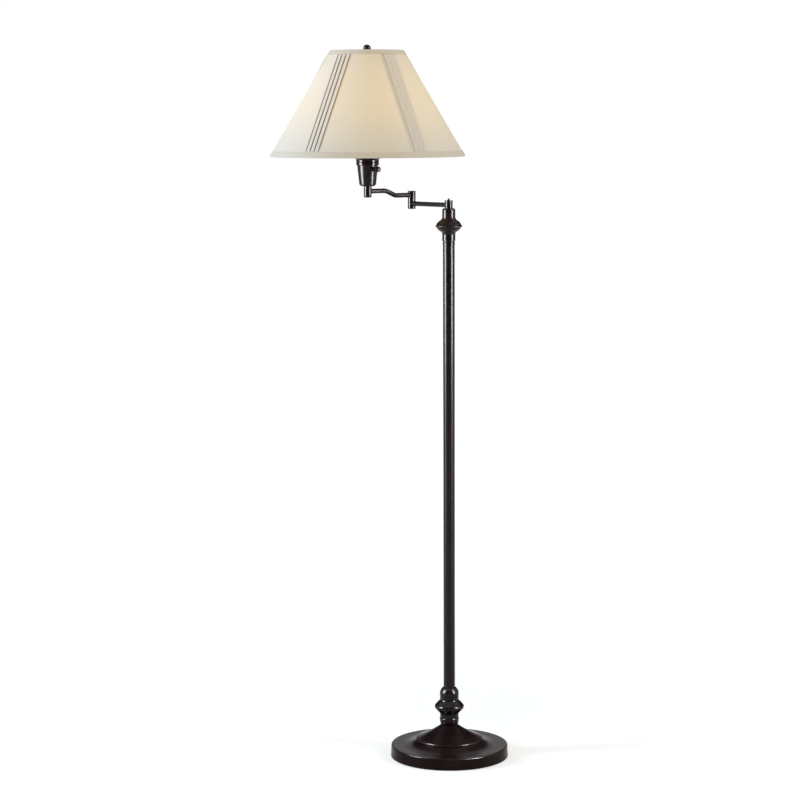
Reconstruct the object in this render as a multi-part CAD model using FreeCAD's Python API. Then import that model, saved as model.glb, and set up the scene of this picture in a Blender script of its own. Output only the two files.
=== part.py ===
"""Bridge (swing-arm) floor lamp, as separate pieces. Millimetres, +Z up, the column's foot at the origin.

The front of the lamp faces -Y. The two arms make a V with the elbow behind the column, and the
socket, harp and shade hang on the outer arm, to the -X side.
"""

import FreeCAD, Part
import math
import os

Vector = FreeCAD.Vector

# ---------------------------------------------------------------- driving dimensions

# base: spun steel cover over a cast weight, on a felt pad
PAD_THICKNESS = 2.5
PAD_INSET = 4.0
BASE_RADIUS = 124.7
BASE_FLARE = 1.2
BASE_SHEET = 1.2
FOOT_GAP = 1.0
RIM_HEIGHT = 25.4
RIM_ROUND = 2.5
RING_FLAT_RADIUS = 99.5
COVE_RISE = 9.0
COVE_TOP_RADIUS = 69.6
BEAD_RADIUS = 70.6
BEAD_HEIGHT = 5.8
CONE_FOOT_RADIUS = 67.5
CONE_RISE = 26.3
CONE_SAG = 2.4
CONE_TOP_RADIUS = 18.2
WEIGHT_THICKNESS = 15.0
WEIGHT_RIM_WIDTH = 16.0
WEIGHT_BOSS_RADIUS = 15.0
WEIGHT_CLEARANCE = 0.6
CORD_GROOVE_WIDTH = 11.0
NUT_RECESS_RADIUS = 18.0
NUT_RECESS_DEPTH = 9.0

# bushing where a cord leaves the base, at the back
BUSHING_HEIGHT = 12.5
BUSHING_RADIUS = 5.2
BUSHING_BORE = 3.8
BUSHING_FLANGE_RADIUS = 7.2
BUSHING_FLANGE_PROUD = 1.8
BUSHING_INSIDE = 6.5

# lamp pipe: the threaded, hollow rod that all the turned pieces are strung on
PIPE_RADIUS = 4.85
PIPE_BORE = 3.2
THREAD_GAP = 0.05
BORE_GAP = 0.15
HEX_NUT_FLATS = 14.3
HEX_NUT_HEIGHT = 4.0
WASHER_RADIUS = 15.0
WASHER_THICKNESS = 1.5
PIPE_BELOW_NUT = 1.0

# lower column: vase, break and domed collar
VASE_FOOT_RADIUS = 17.4
VASE_BELLY_RADIUS = 20.0
VASE_BODY_HEIGHT = 11.5
VASE_RING_RADIUS = 20.6
VASE_RING_HEIGHT = 4.5
VASE_NECK_RADIUS = 19.7
VASE_NECK_HEIGHT = 9.5
LOWER_BREAK_RADIUS = 31.2
LOWER_BREAK_FOOT_RADIUS = 20.0
LOWER_BREAK_SHOULDER_RADIUS = 28.9
LOWER_BREAK_UNDERSIDE = 9.6
LOWER_BREAK_RIDGE = 9.8
LOWER_BREAK_SLOPE = 8.4
LOWER_BREAK_SLOPE_TOP_RADIUS = 21.2
LOWER_BREAK_COVE = 3.2
LOWER_BREAK_NECK_RADIUS = 19.8
LOWER_BREAK_NECK_HEIGHT = 5.5
DOME_RADIUS = 20.2
DOME_GROOVE_RADIUS = 19.3
DOME_GROOVE_HEIGHT = 1.3
DOME_SIDE_HEIGHT = 6.4
DOME_CROWN_HEIGHT = 12.8
DOME_LEDGE = 6.0

# pole
POLE_RADIUS = 12.2
POLE_WALL = 1.2
POLE_LENGTH = 952.8
COUPLING_LENGTH = 20.0
PIPE_INTO_POLE = 24.0
NIPPLE_GAP = 2.0

# upper column: ring and turned break with a sharp ridge
RING_RADIUS = 12.8
RING_HEIGHT = 4.2
GROOVE_RADIUS = 11.7
GROOVE_HEIGHT = 2.4
NECK_RADIUS = 13.6
NECK_FOOT_RADIUS = 12.9
LOWER_NECK_HEIGHT = 14.6
RIDGE_RADIUS = 28.3
RIDGE_LIP_HEIGHT = 0.8
BODY_RADIUS = 26.0
UNDER_COVE_RADIUS = 16.4
UNDER_COVE_HEIGHT = 5.2
UNDER_BOWL_HEIGHT = 11.4
OVER_BOWL_HEIGHT = 12.2
OVER_COVE_RADIUS = 17.0
OVER_COVE_HEIGHT = 6.2
UPPER_NECK_HEIGHT = 12.7
NECK_CROWN_HEIGHT = 5.4
NECK_CROWN_RADIUS = 10.6

# knuckles: sleeves that turn on hollow posts, all from the same stock
SLEEVE_RADIUS = 8.2
SLEEVE_BORE = 6.2
WEB_THICKNESS = 2.5
POST_RADIUS = 4.5
POST_BORE = 2.8
POST_RUNNING_GAP = 0.08
SLIP_WASHER_THICKNESS = 0.7
SLIP_WASHER_RADIUS = 7.9
SWIVEL_GAP = 0.1
LOCK_NUT_RADIUS = 5.8
LOCK_NUT_HEIGHT = 2.0
LOCK_NUT_GAP = 0.15
POST_ABOVE_NUT = 0.6
POST_HEAD_HEIGHT = 1.2
POST_INTO_NECK = 16.0
WIRE_PORT_RADIUS = 2.9
PLUG_GAP = 0.1
PLUG_DEPTH = 1.6

# pivot on top of the column
PIVOT_ARM_HEIGHT = 5.7
PIVOT_SLEEVE_HEIGHT = 14.3
PIVOT_CAP_HEIGHT = 1.4
PIVOT_TIP_RADIUS = 2.6
PIVOT_TIP_HEIGHT = 3.8

# arms
ARM_TUBE_RADIUS = 5.0
ARM_TUBE_WALL = 1.0
BRAZE_GAP = 0.05
LOWER_ARM_LENGTH = 115.0
LOWER_ARM_AZIMUTH = 131.5
UPPER_ARM_LENGTH = 115.0
UPPER_ARM_AZIMUTH = 217.2
ARM_RISE = 10.4
LOW_BEND_DISTANCE = 43.8
LOW_BEND_RADIUS = 14.0
BEND_RUN = 24.5
HIGH_BEND_RADIUS = 35.0

# elbow and socket stem
ELBOW_SLEEVE_HEIGHT = 16.4
ELBOW_LOWER_ARM_HEIGHT = 9.0
ELBOW_UPPER_ARM_HEIGHT = 10.0
ELBOW_CAP_HEIGHT = 2.2
ELBOW_CAP_ROUND = 1.5
STEM_ARM_HEIGHT = 8.1
STEM_SLEEVE_HEIGHT = 18.5
STEM_CAP_HEIGHT = 4.9
STEM_CAP_NOSE_RADIUS = 5.8
STEM_CAP_NECK_RADIUS = 7.5
STEM_CAP_GROOVE = 0.6
PIPE_BELOW_CUP = 4.0

# socket cup with its collar and flared lip
CUP_SHEET = 1.0
CUP_FLAT_RADIUS = 9.5
CUP_FOOT_RADIUS = 17.3
CUP_FOOT_HEIGHT = 3.6
CUP_TAPER_HEIGHT = 46.4
CUP_MOUTH_RADIUS = 22.3
COLLAR_HEIGHT_ON_CUP = 43.4
COLLAR_RADIUS = 23.6
COLLAR_BAND_HEIGHT = 5.4
COLLAR_EDGE_ROUND = 1.2
COLLAR_GROOVE_DEPTH = 0.6
COLLAR_GROOVE_HEIGHT = 1.2
COLLAR_UPPER_HEIGHT = 4.0
COLLAR_FIT = 0.1
COLLAR_BORE = 22.5
LIP_RADIUS = 28.0
LIP_RISE = 3.6
LIP_THICKNESS = 0.9

# harp saddle, harp, stud
HARP_AZIMUTH = 30.0
SADDLE_WIDTH = 9.0
SADDLE_THICKNESS = 1.5
SADDLE_FOOT_RADIUS = 9.5
SADDLE_FOOT_HALF = 14.8
SADDLE_KNEE_HALF = 15.6
SADDLE_KNEE_HEIGHT = 4.2
SADDLE_SLOPE_HEIGHT = 38.0
EAR_HALF = 19.85
EAR_HEIGHT = 2.5
PEG_HEIGHT = 8.0
HARP_WIRE_RADIUS = 1.6
FERRULE_RADIUS = 2.7
FERRULE_LENGTH = 10.0
FERRULE_OVER_EAR = 3.0
HARP_LEG_HEIGHT = 10.0
HARP_FLARE_HEIGHT = 48.0
HARP_HALF_WIDTH = 52.0
HARP_SIDE_HEIGHT = 103.0
HARP_CROWN_HEIGHT = 46.6
HARP_TOP_HALF = 12.0
HARP_LOW_BEND = 18.0
HARP_SHOULDER_BEND = 28.0
HARP_TOP_BEND = 12.0
STUD_BOSS_RADIUS = 5.4
STUD_BOSS_HEIGHT = 6.4
STUD_RADIUS = 3.1
STUD_LENGTH = 12.0

# lampholder and bulb
NUT_IN_CUP_HEIGHT = 3.0
SOCKET_HUB_DEPTH = 8.0
PIPE_TOP_GAP = 1.0
SOCKET_BODY_RADIUS = 13.0
SOCKET_BODY_HEIGHT = 36.2
SOCKET_STEP_HEIGHT = 1.8
SOCKET_HEAD_RADIUS = 15.9
SOCKET_HEAD_HEIGHT = 25.7
SOCKET_FLOOR_THICKNESS = 3.0
SCREW_SHELL_RADIUS = 13.9
SCREW_SHELL_SHEET = 0.5
SCREW_SHELL_HEIGHT = 22.5
SHELL_FIT = 0.2
CONTACT_RADIUS = 4.0
CONTACT_THICKNESS = 1.0
BULB_BASE_RADIUS = 13.1
BULB_BASE_HEIGHT = 23.6
BULB_BASE_EDGE = 1.6
BULB_BUTTON_RADIUS = 4.6
BULB_BUTTON_HEIGHT = 3.2
BULB_NECK_RADIUS = 13.2
BULB_NECK_HEIGHT = 6.5
BULB_GLOBE_RADIUS = 30.0
BULB_GLOBE_HEIGHT = 53.5
BULB_GLASS = 0.8
CONTACT_GAP = 0.1

# turn switch on the side of the cup
SWITCH_AZIMUTH = -57.0
SWITCH_HEIGHT = 30.0
SWITCH_BARREL_RADIUS = 4.2
SWITCH_BARREL_END = 30.0
SWITCH_BARREL_DEPTH = 5.0
SWITCH_HOLE_GAP = 0.3
SWITCH_NUT_RADIUS = 5.3
SWITCH_NUT_END = 26.0
SWITCH_SHAFT_RADIUS = 3.0
SWITCH_SHAFT_GAP = 0.07
SWITCH_SHAFT_START = 10.0
KNOB_RADIUS = 5.6
KNOB_START = 36.0
KNOB_END = 44.0
KNOB_EDGE = 0.8
KNOB_FACE_DOME = 0.9
KNOB_FACE_THICKNESS = 2.5
KNOB_FLUTES = 10
KNOB_FLUTE_RADIUS = 1.1

# shade
SHADE_BOTTOM_RADIUS = 203.2
SHADE_TOP_RADIUS = 76.2
SHADE_HEIGHT = 219.9
COVER_THICKNESS = 1.2
TRIM_THICKNESS = 0.9
BOTTOM_TRIM_HEIGHT = 11.5
TOP_TRIM_HEIGHT = 9.5
TRIM_FOLD_HEIGHT = 7.0
CLOTH_GAP = 0.1
FRAME_WIRE_RADIUS = 1.6
FRAME_GAP = 0.2
PLEAT_BANDS = 5
FRONT_BAND_SPACING = 68.0
FRONT_BANDS_AZIMUTH = -90.0
BAND_WIDTH = 30.0
BAND_FOLDS = 3
BAND_SECTIONS = 5
FOLD_BACK = 0.2
FOLD_LOW = 0.6
FOLD_HIGH = 1.6

# spider that carries the shade on the harp's stud, and the finial over it
SPIDER_ARMS = 3
SPIDER_ARM_AZIMUTH = 90.0
SPIDER_RECESS = 12.0
HUB_RADIUS = 12.5
HUB_THICKNESS = 1.8
HUB_HOLE_GAP = 0.3
SPIDER_FLAT_RADIUS = 58.0
SPIDER_BEND = 8.0
FINIAL_BASE_RADIUS = 5.4
FINIAL_BASE_HEIGHT = 1.4
FINIAL_NECK_RADIUS = 3.9
FINIAL_BALL_RADIUS = 7.85
FINIAL_BALL_HEIGHT = 13.65
FINIAL_HOLE_DEPTH = 11.5

# ---------------------------------------------------------------- places that follow from them

base_top = RIM_HEIGHT + COVE_RISE + BEAD_HEIGHT + CONE_RISE
vase_top = base_top + VASE_BODY_HEIGHT + VASE_RING_HEIGHT + VASE_NECK_HEIGHT
lower_break_height = (LOWER_BREAK_UNDERSIDE + LOWER_BREAK_RIDGE + LOWER_BREAK_SLOPE
                      + LOWER_BREAK_COVE + LOWER_BREAK_NECK_HEIGHT)
lower_break_top = vase_top + lower_break_height
pole_foot = lower_break_top + DOME_LEDGE
pole_top = pole_foot + POLE_LENGTH
ring_top = pole_top + RING_HEIGHT
upper_break_height = (GROOVE_HEIGHT + LOWER_NECK_HEIGHT + UNDER_COVE_HEIGHT + UNDER_BOWL_HEIGHT
                      + RIDGE_LIP_HEIGHT + OVER_BOWL_HEIGHT + OVER_COVE_HEIGHT + UPPER_NECK_HEIGHT
                      + NECK_CROWN_HEIGHT)
neck_top = ring_top + upper_break_height
swivel_step = SLIP_WASHER_THICKNESS + SWIVEL_GAP
pivot_foot = neck_top + swivel_step
lower_arm_height = pivot_foot + PIVOT_ARM_HEIGHT
elbow_foot = lower_arm_height - ELBOW_LOWER_ARM_HEIGHT
elbow_seam = elbow_foot + ELBOW_SLEEVE_HEIGHT
elbow_upper_foot = elbow_seam + swivel_step
upper_arm_height = elbow_upper_foot + ELBOW_UPPER_ARM_HEIGHT
stem_foot = upper_arm_height + ARM_RISE - STEM_ARM_HEIGHT
cup_foot = stem_foot + STEM_SLEEVE_HEIGHT
saddle_foot = cup_foot + CUP_SHEET + NUT_IN_CUP_HEIGHT
socket_foot = saddle_foot + SADDLE_THICKNESS
shell_floor = socket_foot + SOCKET_BODY_HEIGHT + SOCKET_FLOOR_THICKNESS
bulb_foot = shell_floor + CONTACT_THICKNESS + CONTACT_GAP
peg_foot = saddle_foot + SADDLE_KNEE_HEIGHT + SADDLE_SLOPE_HEIGHT + EAR_HEIGHT
harp_foot = peg_foot + PEG_HEIGHT
harp_top = (harp_foot + HARP_LEG_HEIGHT + HARP_FLARE_HEIGHT + HARP_SIDE_HEIGHT
            + HARP_CROWN_HEIGHT)
hub_foot = harp_top + STUD_BOSS_HEIGHT / 2 + SWIVEL_GAP
shade_top = hub_foot + SPIDER_RECESS
shade_bottom = shade_top - SHADE_HEIGHT
finial_foot = hub_foot + HUB_THICKNESS + SWIVEL_GAP
peg_distance = EAR_HALF - SADDLE_THICKNESS / 2
recess_top = PAD_THICKNESS + NUT_RECESS_DEPTH
nut_top = recess_top - WASHER_THICKNESS
nut_foot = nut_top - HEX_NUT_HEIGHT
nut_stack = WEB_THICKNESS + LOCK_NUT_GAP + LOCK_NUT_HEIGHT + POST_ABOVE_NUT
switch_axis_height = socket_foot + SWITCH_HEIGHT
cover_outer = -TRIM_THICKNESS - CLOTH_GAP
cover_inner = cover_outer - COVER_THICKNESS
fold_inner = cover_inner - CLOTH_GAP - TRIM_THICKNESS


def polar(distance, azimuth, start=(0.0, 0.0)):
    """A point at a distance and azimuth in the floor's plane from another point."""
    angle = math.radians(azimuth)
    return (start[0] + distance * math.cos(angle), start[1] + distance * math.sin(angle))


ELBOW = polar(LOWER_ARM_LENGTH, LOWER_ARM_AZIMUTH)
HEAD = polar(UPPER_ARM_LENGTH, UPPER_ARM_AZIMUTH, ELBOW)

# ---------------------------------------------------------------- helpers


def outline(start, *steps):
    """A closed wire in the XZ plane: a step (x, z) is a line, a pair of points an arc by the first."""
    edges = []
    here = Vector(start[0], 0, start[1])
    first = here
    for step in steps:
        if isinstance(step[0], tuple):
            middle = Vector(step[0][0], 0, step[0][1])
            end = Vector(step[1][0], 0, step[1][1])
            edges.append(Part.Arc(here, middle, end).toShape())
        else:
            end = Vector(step[0], 0, step[1])
            edges.append(Part.LineSegment(here, end).toShape())
        here = end
    if here.distanceToPoint(first) > 1e-6:
        edges.append(Part.LineSegment(here, first).toShape())
    return Part.Wire(edges)


def bend(middle, end, hidden=False):
    """Steps for an arc by way of the middle, or for two straight runs where the face is hidden."""
    return [middle, end] if hidden else [(middle, end)]


def turned(start, *steps):
    """A solid of revolution about Z from its half outline."""
    return Part.Face(outline(start, *steps)).revolve(Vector(0, 0, 0), Vector(0, 0, 1), 360)


def rod(radius, low, high):
    """A round bar on the Z axis between two heights."""
    return Part.makeCylinder(radius, high - low, Vector(0, 0, low))


def tube(radius, bore, low, high):
    """A round bar with a through bore."""
    return rod(radius, low, high).cut(rod(bore, low - 1, high + 1))


def side_rod(radius, start, end, azimuth, height):
    """A round bar that lies flat and points away from the Z axis at an azimuth."""
    x, y = polar(start, azimuth)
    dx, dy = polar(1.0, azimuth)
    return Part.makeCylinder(radius, end - start, Vector(x, y, height), Vector(dx, dy, 0))


def hex_nut(flats, bore, low, high):
    """A plain hexagon nut on the Z axis."""
    corner = flats / math.sqrt(3)
    corners = [Vector(corner * math.cos(math.radians(60 * i)), corner * math.sin(math.radians(60 * i)), low)
               for i in range(7)]
    block = Part.Face(Part.makePolygon(corners)).extrude(Vector(0, 0, high - low))
    return block.cut(rod(bore, low - 1, high + 1))


def rounded_path(points, radii):
    """Straight runs in the XZ plane, joined by tangent arcs of the given radii at the inner points."""
    points = [Vector(x, 0, z) for x, z in points]
    edges = []
    here = points[0]
    for before, corner, after, radius in zip(points, points[1:], points[2:], radii):
        back = (before - corner).normalize()
        ahead = (after - corner).normalize()
        half = back.getAngle(ahead) / 2
        reach = radius / math.tan(half)
        middle = (back + ahead).normalize() * (radius / math.sin(half) - radius)
        entry = corner + back * reach
        leave = corner + ahead * reach
        edges.append(Part.LineSegment(here, entry).toShape())
        edges.append(Part.Arc(entry, corner + middle, leave).toShape())
        here = leave
    edges.append(Part.LineSegment(here, points[-1]).toShape())
    return Part.Wire(edges)


def bent_bar(path, radius):
    """A round bar along a path."""
    first = path.Edges[0]
    start = first.FirstParameter
    ring = Part.makeCircle(radius, first.valueAt(start), first.tangentAt(start))
    return path.makePipeShell([Part.Wire(ring)], True, False)


def placed(shape, at=(0.0, 0.0), turn=0.0, up=0.0):
    """A copy turned about Z and moved to its axis."""
    copy = shape.copy()
    copy.rotate(Vector(0, 0, 0), Vector(0, 0, 1), turn)
    copy.translate(Vector(at[0], at[1], up))
    return copy


def joined(shapes):
    """One solid from pieces that are welded or moulded as one."""
    return shapes[0].multiFuse(shapes[1:]).removeSplitter()


# ---------------------------------------------------------------- base


def base_body(inset):
    """The base cover's outline as a full solid, drawn in and down by the inset."""
    rim_radius = BASE_RADIUS - BASE_FLARE - inset
    foot = FOOT_GAP if inset == 0 else -1.0
    rim_top = RIM_HEIGHT - inset
    cove_top = rim_top + COVE_RISE
    bead_top = cove_top + BEAD_HEIGHT
    cove_middle = ((RING_FLAT_RADIUS + COVE_TOP_RADIUS) / 2 - inset, rim_top + COVE_RISE * 0.27)
    cone_middle = ((CONE_FOOT_RADIUS + CONE_TOP_RADIUS) / 2 - inset, bead_top + CONE_RISE / 2 - CONE_SAG)
    bead_middle = (BEAD_RADIUS - inset, cove_top + BEAD_HEIGHT / 2)
    round_middle = RIM_ROUND * (1 - math.sqrt(0.5))
    rim_middle = (rim_radius - round_middle, rim_top - round_middle)
    hidden = inset > 0
    return turned(
        (0, foot),
        (BASE_RADIUS - inset, foot),
        (rim_radius, rim_top - RIM_ROUND),
        *bend(rim_middle, (rim_radius - RIM_ROUND, rim_top), hidden),
        (RING_FLAT_RADIUS - inset, rim_top),
        *bend(cove_middle, (COVE_TOP_RADIUS - inset, cove_top), hidden),
        *bend(bead_middle, (CONE_FOOT_RADIUS - inset, bead_top), hidden),
        *bend(cone_middle, (CONE_TOP_RADIUS - inset, bead_top + CONE_RISE), hidden),
        (0, bead_top + CONE_RISE),
    )


def bushing_hole(gap):
    """The round hole for the bushing through whatever stands at the back of the base."""
    start = BASE_RADIUS - BUSHING_INSIDE - gap
    return side_rod(BUSHING_RADIUS + gap, start, BASE_RADIUS + 5, 90, BUSHING_HEIGHT)


def base_shell():
    shell = base_body(0).cut(base_body(BASE_SHEET))
    shell = shell.cut(rod(PIPE_RADIUS + BORE_GAP, 0, base_top + 1))
    return shell.cut(bushing_hole(BORE_GAP))


def base_weight():
    """A cast disc whose outer ring and middle boss carry the cover."""
    radius = BASE_RADIUS - BASE_FLARE - BASE_SHEET - RIM_ROUND
    disc_top = PAD_THICKNESS + WEIGHT_THICKNESS
    cover = RIM_HEIGHT - BASE_SHEET
    weight = turned(
        (PIPE_RADIUS + BORE_GAP, PAD_THICKNESS),
        (radius, PAD_THICKNESS),
        (radius, cover),
        (radius - WEIGHT_RIM_WIDTH, cover),
        (radius - WEIGHT_RIM_WIDTH - WEIGHT_CLEARANCE, disc_top),
        (WEIGHT_BOSS_RADIUS + WEIGHT_CLEARANCE, disc_top),
        (WEIGHT_BOSS_RADIUS, base_top - BASE_SHEET),
        (PIPE_RADIUS + BORE_GAP, base_top - BASE_SHEET),
    )
    recess = rod(NUT_RECESS_RADIUS, 0, PAD_THICKNESS + NUT_RECESS_DEPTH)
    groove_top = BUSHING_HEIGHT + BUSHING_FLANGE_RADIUS - PAD_THICKNESS
    groove_depth = groove_top + WEIGHT_CLEARANCE
    corner = Vector(-CORD_GROOVE_WIDTH / 2, 0, PAD_THICKNESS)
    groove = Part.makeBox(CORD_GROOVE_WIDTH, BASE_RADIUS, groove_depth, corner)
    return weight.cut(recess).cut(groove)


def base_pad():
    """The felt under the whole base, also over the recess of the nut."""
    return rod(BASE_RADIUS - PAD_INSET, 0, PAD_THICKNESS)


def cord_bushing():
    """A flanged bushing, coped to the side wall of the base."""
    inside = BASE_RADIUS - BUSHING_INSIDE
    outside = BASE_RADIUS + BUSHING_FLANGE_PROUD
    flange = side_rod(BUSHING_FLANGE_RADIUS, inside, outside, 90, BUSHING_HEIGHT).cut(base_body(0))
    barrel = side_rod(BUSHING_RADIUS, inside, outside, 90, BUSHING_HEIGHT)
    bore = side_rod(BUSHING_BORE, inside - 1, outside + 1, 90, BUSHING_HEIGHT)
    return joined([flange, barrel]).cut(bore)


# ---------------------------------------------------------------- column


def lower_vase():
    bore = PIPE_RADIUS + BORE_GAP
    ring_foot = VASE_BODY_HEIGHT
    ring_top_edge = ring_foot + VASE_RING_HEIGHT
    top = ring_top_edge + VASE_NECK_HEIGHT
    belly = (VASE_FOOT_RADIUS + (VASE_BELLY_RADIUS - VASE_FOOT_RADIUS) * 0.7, VASE_BODY_HEIGHT * 0.42)
    return turned(
        (bore, 0),
        (VASE_FOOT_RADIUS, 0),
        (belly, (VASE_BELLY_RADIUS, ring_foot)),
        ((VASE_RING_RADIUS, ring_foot + VASE_RING_HEIGHT / 2), (VASE_NECK_RADIUS, ring_top_edge)),
        (VASE_NECK_RADIUS, top),
        (bore, top),
    )


def lower_break():
    """Two cones with a rounded ridge between them and a short neck on top."""
    bore = PIPE_RADIUS + BORE_GAP
    ridge_foot = LOWER_BREAK_UNDERSIDE
    ridge_top = ridge_foot + LOWER_BREAK_RIDGE
    slope_top = ridge_top + LOWER_BREAK_SLOPE
    cove_top = slope_top + LOWER_BREAK_COVE
    cove_middle = (LOWER_BREAK_NECK_RADIUS + (LOWER_BREAK_SLOPE_TOP_RADIUS - LOWER_BREAK_NECK_RADIUS) * 0.3,
                   slope_top + LOWER_BREAK_COVE * 0.45)
    return turned(
        (bore, 0),
        (LOWER_BREAK_FOOT_RADIUS, 0),
        (LOWER_BREAK_SHOULDER_RADIUS, ridge_foot),
        ((LOWER_BREAK_RADIUS, ridge_foot + LOWER_BREAK_RIDGE / 2), (LOWER_BREAK_SHOULDER_RADIUS, ridge_top)),
        (LOWER_BREAK_SLOPE_TOP_RADIUS, slope_top),
        (cove_middle, (LOWER_BREAK_NECK_RADIUS, cove_top)),
        (LOWER_BREAK_NECK_RADIUS, lower_break_height),
        (bore, lower_break_height),
    )


def lower_dome():
    """The domed collar that the pole stands in."""
    bore = PIPE_RADIUS + BORE_GAP
    pole_bore = POLE_RADIUS + BORE_GAP
    side_foot = DOME_GROOVE_HEIGHT + DOME_RADIUS - DOME_GROOVE_RADIUS
    side_top = DOME_GROOVE_HEIGHT + DOME_SIDE_HEIGHT
    top = side_top + DOME_CROWN_HEIGHT
    crown = (pole_bore + (DOME_RADIUS - pole_bore) * 0.72, side_top + DOME_CROWN_HEIGHT / 2)
    return turned(
        (bore, 0),
        (DOME_GROOVE_RADIUS, 0),
        (DOME_GROOVE_RADIUS, DOME_GROOVE_HEIGHT),
        (DOME_RADIUS, side_foot),
        (DOME_RADIUS, side_top),
        (crown, (pole_bore, top)),
        (pole_bore, DOME_LEDGE),
        (bore, DOME_LEDGE),
    )


def coupling():
    return tube(POLE_RADIUS - POLE_WALL - THREAD_GAP, PIPE_RADIUS + THREAD_GAP, 0, COUPLING_LENGTH)


def upper_break():
    """The turned piece on the pole: groove, neck, two bowls that meet in a thin lip, neck, rounded crown."""
    bore = PIPE_RADIUS + BORE_GAP
    neck_foot = GROOVE_HEIGHT + NECK_RADIUS - NECK_FOOT_RADIUS
    under_cove = GROOVE_HEIGHT + LOWER_NECK_HEIGHT
    under_bowl = under_cove + UNDER_COVE_HEIGHT
    lip = under_bowl + UNDER_BOWL_HEIGHT
    over_bowl = lip + RIDGE_LIP_HEIGHT
    over_cove = over_bowl + OVER_BOWL_HEIGHT
    upper_neck = over_cove + OVER_COVE_HEIGHT
    crown = upper_neck + UPPER_NECK_HEIGHT
    lip_slope = RIDGE_RADIUS - BODY_RADIUS
    bowl_swell = 0.66
    under_middle = (UNDER_COVE_RADIUS + (BODY_RADIUS - UNDER_COVE_RADIUS) * bowl_swell,
                    under_bowl + (UNDER_BOWL_HEIGHT - lip_slope) * 0.5)
    over_middle = (OVER_COVE_RADIUS + (BODY_RADIUS - OVER_COVE_RADIUS) * bowl_swell,
                   over_bowl + lip_slope + (OVER_BOWL_HEIGHT - lip_slope) * 0.52)
    under_cove_middle = (NECK_RADIUS + (UNDER_COVE_RADIUS - NECK_RADIUS) * 0.28,
                         under_cove + UNDER_COVE_HEIGHT * 0.55)
    over_cove_middle = (NECK_RADIUS + (OVER_COVE_RADIUS - NECK_RADIUS) * 0.3,
                        over_cove + OVER_COVE_HEIGHT * 0.42)
    crown_middle = (NECK_RADIUS - (NECK_RADIUS - NECK_CROWN_RADIUS) * 0.3, crown + NECK_CROWN_HEIGHT * 0.7)
    return turned(
        (bore, 0),
        (GROOVE_RADIUS, 0),
        (GROOVE_RADIUS, GROOVE_HEIGHT),
        (NECK_FOOT_RADIUS, GROOVE_HEIGHT),
        (NECK_RADIUS, neck_foot + (NECK_RADIUS - NECK_FOOT_RADIUS)),
        (NECK_RADIUS, under_cove),
        (under_cove_middle, (UNDER_COVE_RADIUS, under_bowl)),
        (under_middle, (BODY_RADIUS, lip - lip_slope)),
        (RIDGE_RADIUS, lip),
        (RIDGE_RADIUS, over_bowl),
        (BODY_RADIUS, over_bowl + lip_slope),
        (over_middle, (OVER_COVE_RADIUS, over_cove)),
        (over_cove_middle, (NECK_RADIUS, upper_neck)),
        (NECK_RADIUS, crown),
        (crown_middle, (NECK_CROWN_RADIUS, upper_break_height)),
        (bore, upper_break_height),
    )


# ---------------------------------------------------------------- knuckles


def sleeve(height, web_foot, web_hole, port_height, port_azimuth):
    """A knuckle sleeve with one web across its bore and a port where the arm's wires come in."""
    body = tube(SLEEVE_RADIUS, SLEEVE_BORE, 0, height)
    web = tube((SLEEVE_BORE + SLEEVE_RADIUS) / 2, web_hole, web_foot, web_foot + WEB_THICKNESS)
    port = side_rod(WIRE_PORT_RADIUS, 0, SLEEVE_RADIUS + 1, port_azimuth, port_height)
    return joined([body, web]).cut(port)


def slip_washer():
    return tube(SLIP_WASHER_RADIUS, POST_RADIUS + POST_RUNNING_GAP, 0, SLIP_WASHER_THICKNESS)


def lock_nut(web_top):
    """The round nut that holds a sleeve's web down on its post."""
    foot = web_top + LOCK_NUT_GAP
    return tube(LOCK_NUT_RADIUS, POST_RADIUS + THREAD_GAP, foot, foot + LOCK_NUT_HEIGHT)


def pivot_post():
    """The hollow post in the top of the column: threaded foot, plain journal."""
    foot = tube(PIPE_RADIUS, POST_BORE, neck_top - POST_INTO_NECK, neck_top)
    journal = tube(POST_RADIUS, POST_BORE, neck_top, pivot_foot + nut_stack)
    return joined([foot, journal])


def pivot_cap():
    """A flat cap with a plug below it and a small pointed tip."""
    tip_foot = PIVOT_CAP_HEIGHT
    tip_top = tip_foot + PIVOT_TIP_HEIGHT
    return turned(
        (0, -PLUG_DEPTH),
        (SLEEVE_BORE - PLUG_GAP, -PLUG_DEPTH),
        (SLEEVE_BORE - PLUG_GAP, 0),
        (SLEEVE_RADIUS, 0),
        (SLEEVE_RADIUS, PIVOT_CAP_HEIGHT),
        (PIVOT_TIP_RADIUS, PIVOT_CAP_HEIGHT),
        (PIVOT_TIP_RADIUS * 0.92, tip_foot + PIVOT_TIP_HEIGHT * 0.45),
        ((PIVOT_TIP_RADIUS * 0.65, tip_foot + PIVOT_TIP_HEIGHT * 0.84), (PIVOT_TIP_RADIUS * 0.2, tip_top)),
        (0, tip_top),
    )


def elbow_cap():
    """A rounded end cap, drawn with its plug downwards."""
    corner = ELBOW_CAP_ROUND * (1 - math.sqrt(0.5))
    flat = SLEEVE_RADIUS - ELBOW_CAP_ROUND
    return turned(
        (0, -PLUG_DEPTH),
        (SLEEVE_BORE - PLUG_GAP, -PLUG_DEPTH),
        (SLEEVE_BORE - PLUG_GAP, 0),
        (SLEEVE_RADIUS, 0),
        (SLEEVE_RADIUS, ELBOW_CAP_HEIGHT - ELBOW_CAP_ROUND),
        ((SLEEVE_RADIUS - corner, ELBOW_CAP_HEIGHT - corner), (flat, ELBOW_CAP_HEIGHT)),
        (0, ELBOW_CAP_HEIGHT),
    )


def turned_over(shape):
    """The same piece upside down."""
    copy = shape.copy()
    copy.rotate(Vector(0, 0, 0), Vector(1, 0, 0), 180)
    return copy


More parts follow.
